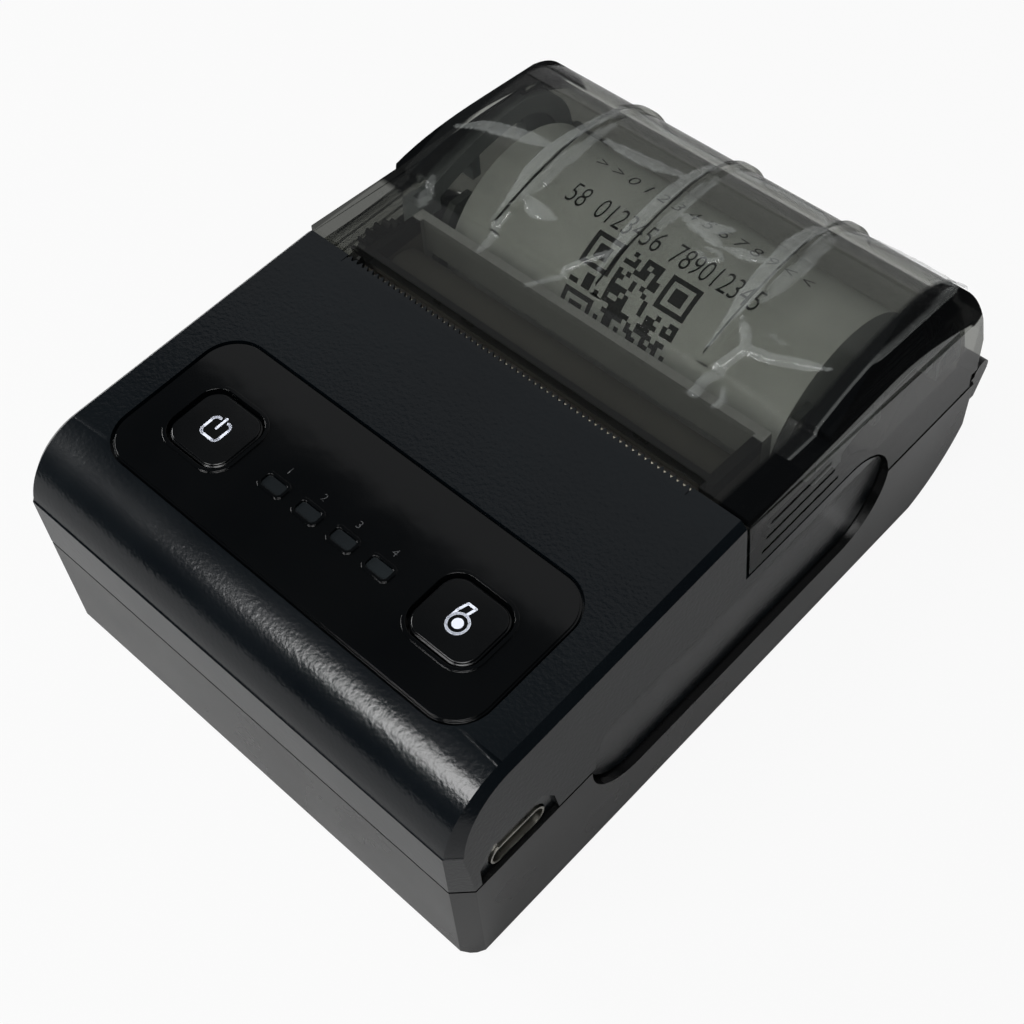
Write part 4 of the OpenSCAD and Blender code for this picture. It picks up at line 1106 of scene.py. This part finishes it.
@dataclass
class PaperSupply:
    """Bay, roll and web, with a generic test print on the roll.

    Fields: middle and radius of the roll in millimetres, columns, rows and cell size of the printed block
    and its place along the paper, clearance and thickness of the print, and seed of the random cells.
    """

    roll_y: float = 83.0
    roll_z: float = 20.0
    roll_r: float = 16.0
    cells: int = 25
    rows: int = 19
    cell: float = 0.725
    block_arc: float = 5.2
    lift: float = 0.02
    ink: float = 0.012
    seed: int = 58

    def wrap(self, mesh: Shape, x: float, arc: float) -> None:
        """Bends flat faces in millimetres round the roll, with their top toward the hinge.

        Args:
            mesh: flat faces round the origin.
            x: place across the roll.
            arc: place along the paper, measured from the roll's top.
        """
        radius = self.roll_r + self.lift
        for v in mesh.verts:
            angle = math.pi / 2 + (arc - v.co.y) / self.roll_r
            depth = radius + v.co.z
            y = self.roll_y + depth * math.cos(angle)
            v.co = spot(x + v.co.x, y, self.roll_z + depth * math.sin(angle))

    def dark(self, row: int, column: int, chance: random.Random) -> bool:
        """Tells whether a cell of the block is printed.

        Args:
            row: row of the cell, from the top.
            column: column of the cell.
            chance: draws the cells outside the three target squares.

        Returns:
            Whether the cell is printed.
        """
        for r0, c0 in ((0, 0), (0, self.cells - 7), (self.rows - 7, 0)):
            r, c = row - r0, column - c0
            if -1 <= r <= 7 and -1 <= c <= 7:
                rim = r in (0, 6) and 0 <= c <= 6 or c in (0, 6) and 0 <= r <= 6
                return rim or (2 <= r <= 4 and 2 <= c <= 4)
        return chance.random() < 0.48

    def block(self) -> Shape:
        """Draws the block of random cells, each a trace too large so that they meet.

        Returns:
            Its flat faces, in millimetres.
        """
        chance = random.Random(self.seed)
        mesh = bmesh.new()
        size = self.cell / 2 * 1.002
        left = (1 - self.cells) * self.cell / 2
        top = (self.rows - 1) * self.cell / 2
        for row in range(self.rows):
            for column in range(self.cells):
                if self.dark(row, column, chance):
                    at = Matrix.Translation((left + column * self.cell, top - row * self.cell, 0))
                    bmesh.ops.create_grid(mesh, x_segments=1, y_segments=1, size=size, matrix=at)
        return mesh

    def printed(self, name: str, mesh: Shape, x: float, arc: float) -> None:
        """Makes flat faces a printed skin on the roll.

        Args:
            name: name of the piece.
            mesh: flat faces round the origin, in millimetres.
            x: place across the roll.
            arc: place along the paper, measured from the roll's top.
        """
        bmesh.ops.remove_doubles(mesh, verts=mesh.verts, dist=0.01)
        long = [e for e in mesh.edges if e.calc_length() > 2]
        bmesh.ops.subdivide_edges(mesh, edges=long, cuts=2, use_grid_fill=True)
        thicken(mesh, self.ink)
        self.wrap(mesh, x, arc)
        bmesh.ops.recalc_face_normals(mesh, faces=mesh.faces)
        new_piece(name, mesh, Surface.THERMAL_BLACK, Body.ROLL)

    def build(self) -> None:
        """Dresses the bay, roll and web and prints the test rows."""
        dress(Surface.PAPER, ("paper_roll", "paper_web"))
        dress(Surface.CORE_BOARD, ("roll_core",))
        dress(Surface.BAY_ABS, ("paper_bay",))
        dress(Surface.EPOXY, ("paper_sensor",))
        self.printed("print_block", self.block(), 0.5, self.block_arc + self.rows * self.cell / 2)
        self.printed("print_row_small", lettering("> > 0 1 2 3 4 5 6 7 8 9 < <", 2.4), 0.9, -5.0)
        row = lettering("58  0123456  789012345", 3.6)
        bmesh.ops.scale(row, vec=(0.64, 1, 1), verts=row.verts)
        self.printed("print_row_tall", row, 0.2, 2.6)


@dataclass
class Electronics(Dressed):
    """Boards, socket, battery and cables."""

    finishes: Finishes = (
        (Surface.BOARD, ("main_board", "key_board")),
        (Surface.EPOXY, ("board_chips", "tact_switches")),
        (Surface.TONGUE, ("usb_tongue",)),
        (Surface.DRAWN_NICKEL, ("usb_shell",)),
        (Surface.BATTERY_WRAP, ("battery_pack",)),
        (Surface.GOLD, ("battery_contacts",)),
        (Surface.POLYIMIDE, ("head_cable", "key_cable")),
    )


@dataclass(frozen=True)
class Lamp:
    """A soft rectangular lamp aimed at a point.

    Fields: name, place and size in metres, power in watts, and the point it is aimed at.
    """

    name: str
    at: Vec3
    size: tuple[float, float]
    power: float
    aim: Vec3 = (0, 0, 0.02)

    def build(self) -> None:
        """Hangs the lamp."""
        data = bpy.data.lights.new(self.name, "AREA")
        data.shape = "RECTANGLE"
        data.size, data.size_y = self.size
        data.energy = self.power
        lamp = bpy.data.objects.new(self.name, data)
        lamp.location = self.at
        lamp.rotation_euler = (Vector(self.aim) - Vector(self.at)).to_track_quat("-Z", "Y").to_euler()
        bpy.context.scene.collection.objects.link(lamp)


@dataclass
class Studio:
    """Pale floor, soft lamps, world and camera.

    Fields: place of the camera in metres, its turn in degrees and lens in millimetres, how white the floor
    glows for the camera and, as a painted reflection, for mirror rays behind on the right, strength of the
    room's own light, and the lamps.
    """

    camera_at: Vec3 = (0.09794, -0.09502, 0.19263)
    camera_turn: Vec3 = (35.8105, 2.7975, 43.0389)
    lens: float = 57.27
    glow: float = 0.92
    painted_reflection_glow: float = 0.65
    room: float = 0.06
    lamps: tuple[Lamp, ...] = (
        Lamp("front_softbox", (-0.26, -0.6, 0.74), (0.3, 0.34), 3.6, (0, -0.04, 0.03)),
        Lamp("left_softbox", (-1.0, -0.3, 0.42), (0.5, 0.45), 8.0),
        Lamp("right_softbox", (0.62, -0.66, 0.8), (0.6, 0.6), 4.0),
        Lamp("top_softbox", (0.12, -0.3, 1.08), (0.5, 0.5), 6.0),
        Lamp("rear_ceiling_card", (-0.6, 0.95, 1.0), (2.2, 1.25), 2.4, (-0.6, 0.95, 0.0)),
        Lamp("rear_wall_card", (-0.5, 1.7, 0.45), (2.4, 0.8), 3.4, (0, 0, 0.2)),
    )

    def background(self, tree: Tree) -> Socket:
        """Picks the rays that see the floor glow: camera and clear rays, and mirror rays at the right rear,
        where the glow is a painted reflection.

        Args:
            tree: the material's tree.

        Returns:
            The socket with the share of glow.
        """
        path = add(tree, "ShaderNodeLightPath").outputs
        at = add(tree, "ShaderNodeSeparateXYZ", {"Vector": place(tree, (1, 1, 1))}).outputs
        # painted reflection: a glowing patch at the right rear that only mirror rays see
        right = spread(tree, at["X"], 0.0, self.painted_reflection_glow, 40.0, 54.0)
        rear = spread(tree, at["Y"], 0.0, 1.0, 18.0, 52.0)
        corner = add(tree, "ShaderNodeMath", {0: right, 1: rear}, operation="MULTIPLY").outputs[0]
        share = add(tree, "ShaderNodeMath", {0: path["Is Glossy Ray"], 1: corner}, operation="MULTIPLY")
        for ray in ("Is Camera Ray", "Is Transmission Ray"):
            both = {0: path[ray], 1: share.outputs[0]}
            share = add(tree, "ShaderNodeMath", both, operation="MAXIMUM")
        return share.outputs[0]

    def floor(self) -> None:
        """Lays a pale floor that keeps the object's shadow."""
        mesh = bmesh.new()
        under = Matrix.Translation((0, 0, -0.00005))
        bmesh.ops.create_grid(mesh, x_segments=1, y_segments=1, size=3.0, matrix=under)
        data = bpy.data.meshes.new("floor")
        mesh.to_mesh(data)
        mesh.free()
        made = bpy.data.materials.new("pale_paper_floor")
        made.use_nodes = True
        tree = made.node_tree
        tree.nodes.clear()
        matt = add(tree, "ShaderNodeBsdfDiffuse", {"Color": linear("#a9a9a9")})
        glow = add(tree, "ShaderNodeEmission", {"Color": linear("#ffffff"), "Strength": 1.0})
        share = spread(tree, self.background(tree), 0.0, self.glow)
        mix = add(tree, "ShaderNodeMixShader", {0: share, 1: matt.outputs[0], 2: glow.outputs[0]})
        add(tree, "ShaderNodeOutputMaterial", {"Surface": mix.outputs[0]})
        data.materials.append(made)
        plane = bpy.data.objects.new("floor", data)
        bpy.context.scene.collection.objects.link(plane)

    def world(self) -> None:
        """White for the camera, a dim even room for everything else."""
        world = bpy.data.worlds.new("studio")
        world.use_nodes = True
        tree = world.node_tree
        tree.nodes.clear()
        path = add(tree, "ShaderNodeLightPath").outputs
        rays = {0: path["Is Camera Ray"], 1: path["Is Transmission Ray"]}
        seen = add(tree, "ShaderNodeMath", rays, operation="MAXIMUM")
        room = add(tree, "ShaderNodeBackground", {"Color": linear("#c9ccd0"), "Strength": self.room})
        white = add(tree, "ShaderNodeBackground", {"Color": linear("#ffffff"), "Strength": 1.0})
        mix = add(tree, "ShaderNodeMixShader", {0: seen.outputs[0], 1: room.outputs[0], 2: white.outputs[0]})
        add(tree, "ShaderNodeOutputWorld", {"Surface": mix.outputs[0]})
        bpy.context.scene.world = world

    def camera(self) -> None:
        """Sets the camera at the photograph's viewing angle."""
        data = bpy.data.cameras.new("camera")
        data.sensor_width = 36
        data.lens = self.lens
        data.clip_start = 0.01
        camera = bpy.data.objects.new("camera", data)
        camera.location = self.camera_at
        camera.rotation_euler = [math.radians(a) for a in self.camera_turn]
        bpy.context.scene.collection.objects.link(camera)
        bpy.context.scene.camera = camera

    def build(self) -> None:
        """Builds floor, world, lamps and camera."""
        self.floor()
        self.world()
        self.camera()
        for lamp in self.lamps:
            lamp.build()
        bpy.context.scene.view_settings.view_transform = "Standard"


def main() -> None:
    """Builds the looks in order."""
    logging.basicConfig(level=logging.INFO, format="%(name)s: %(message)s")
    kinds = (Studio, CaseShells, ControlPanel, Lid, PrintMechanism, PaperSupply, Electronics)
    for part in (kind() for kind in kinds):
        part.build()
        LOG.info("built %s", type(part).__name__)


if __name__ == "__main__":
    main()
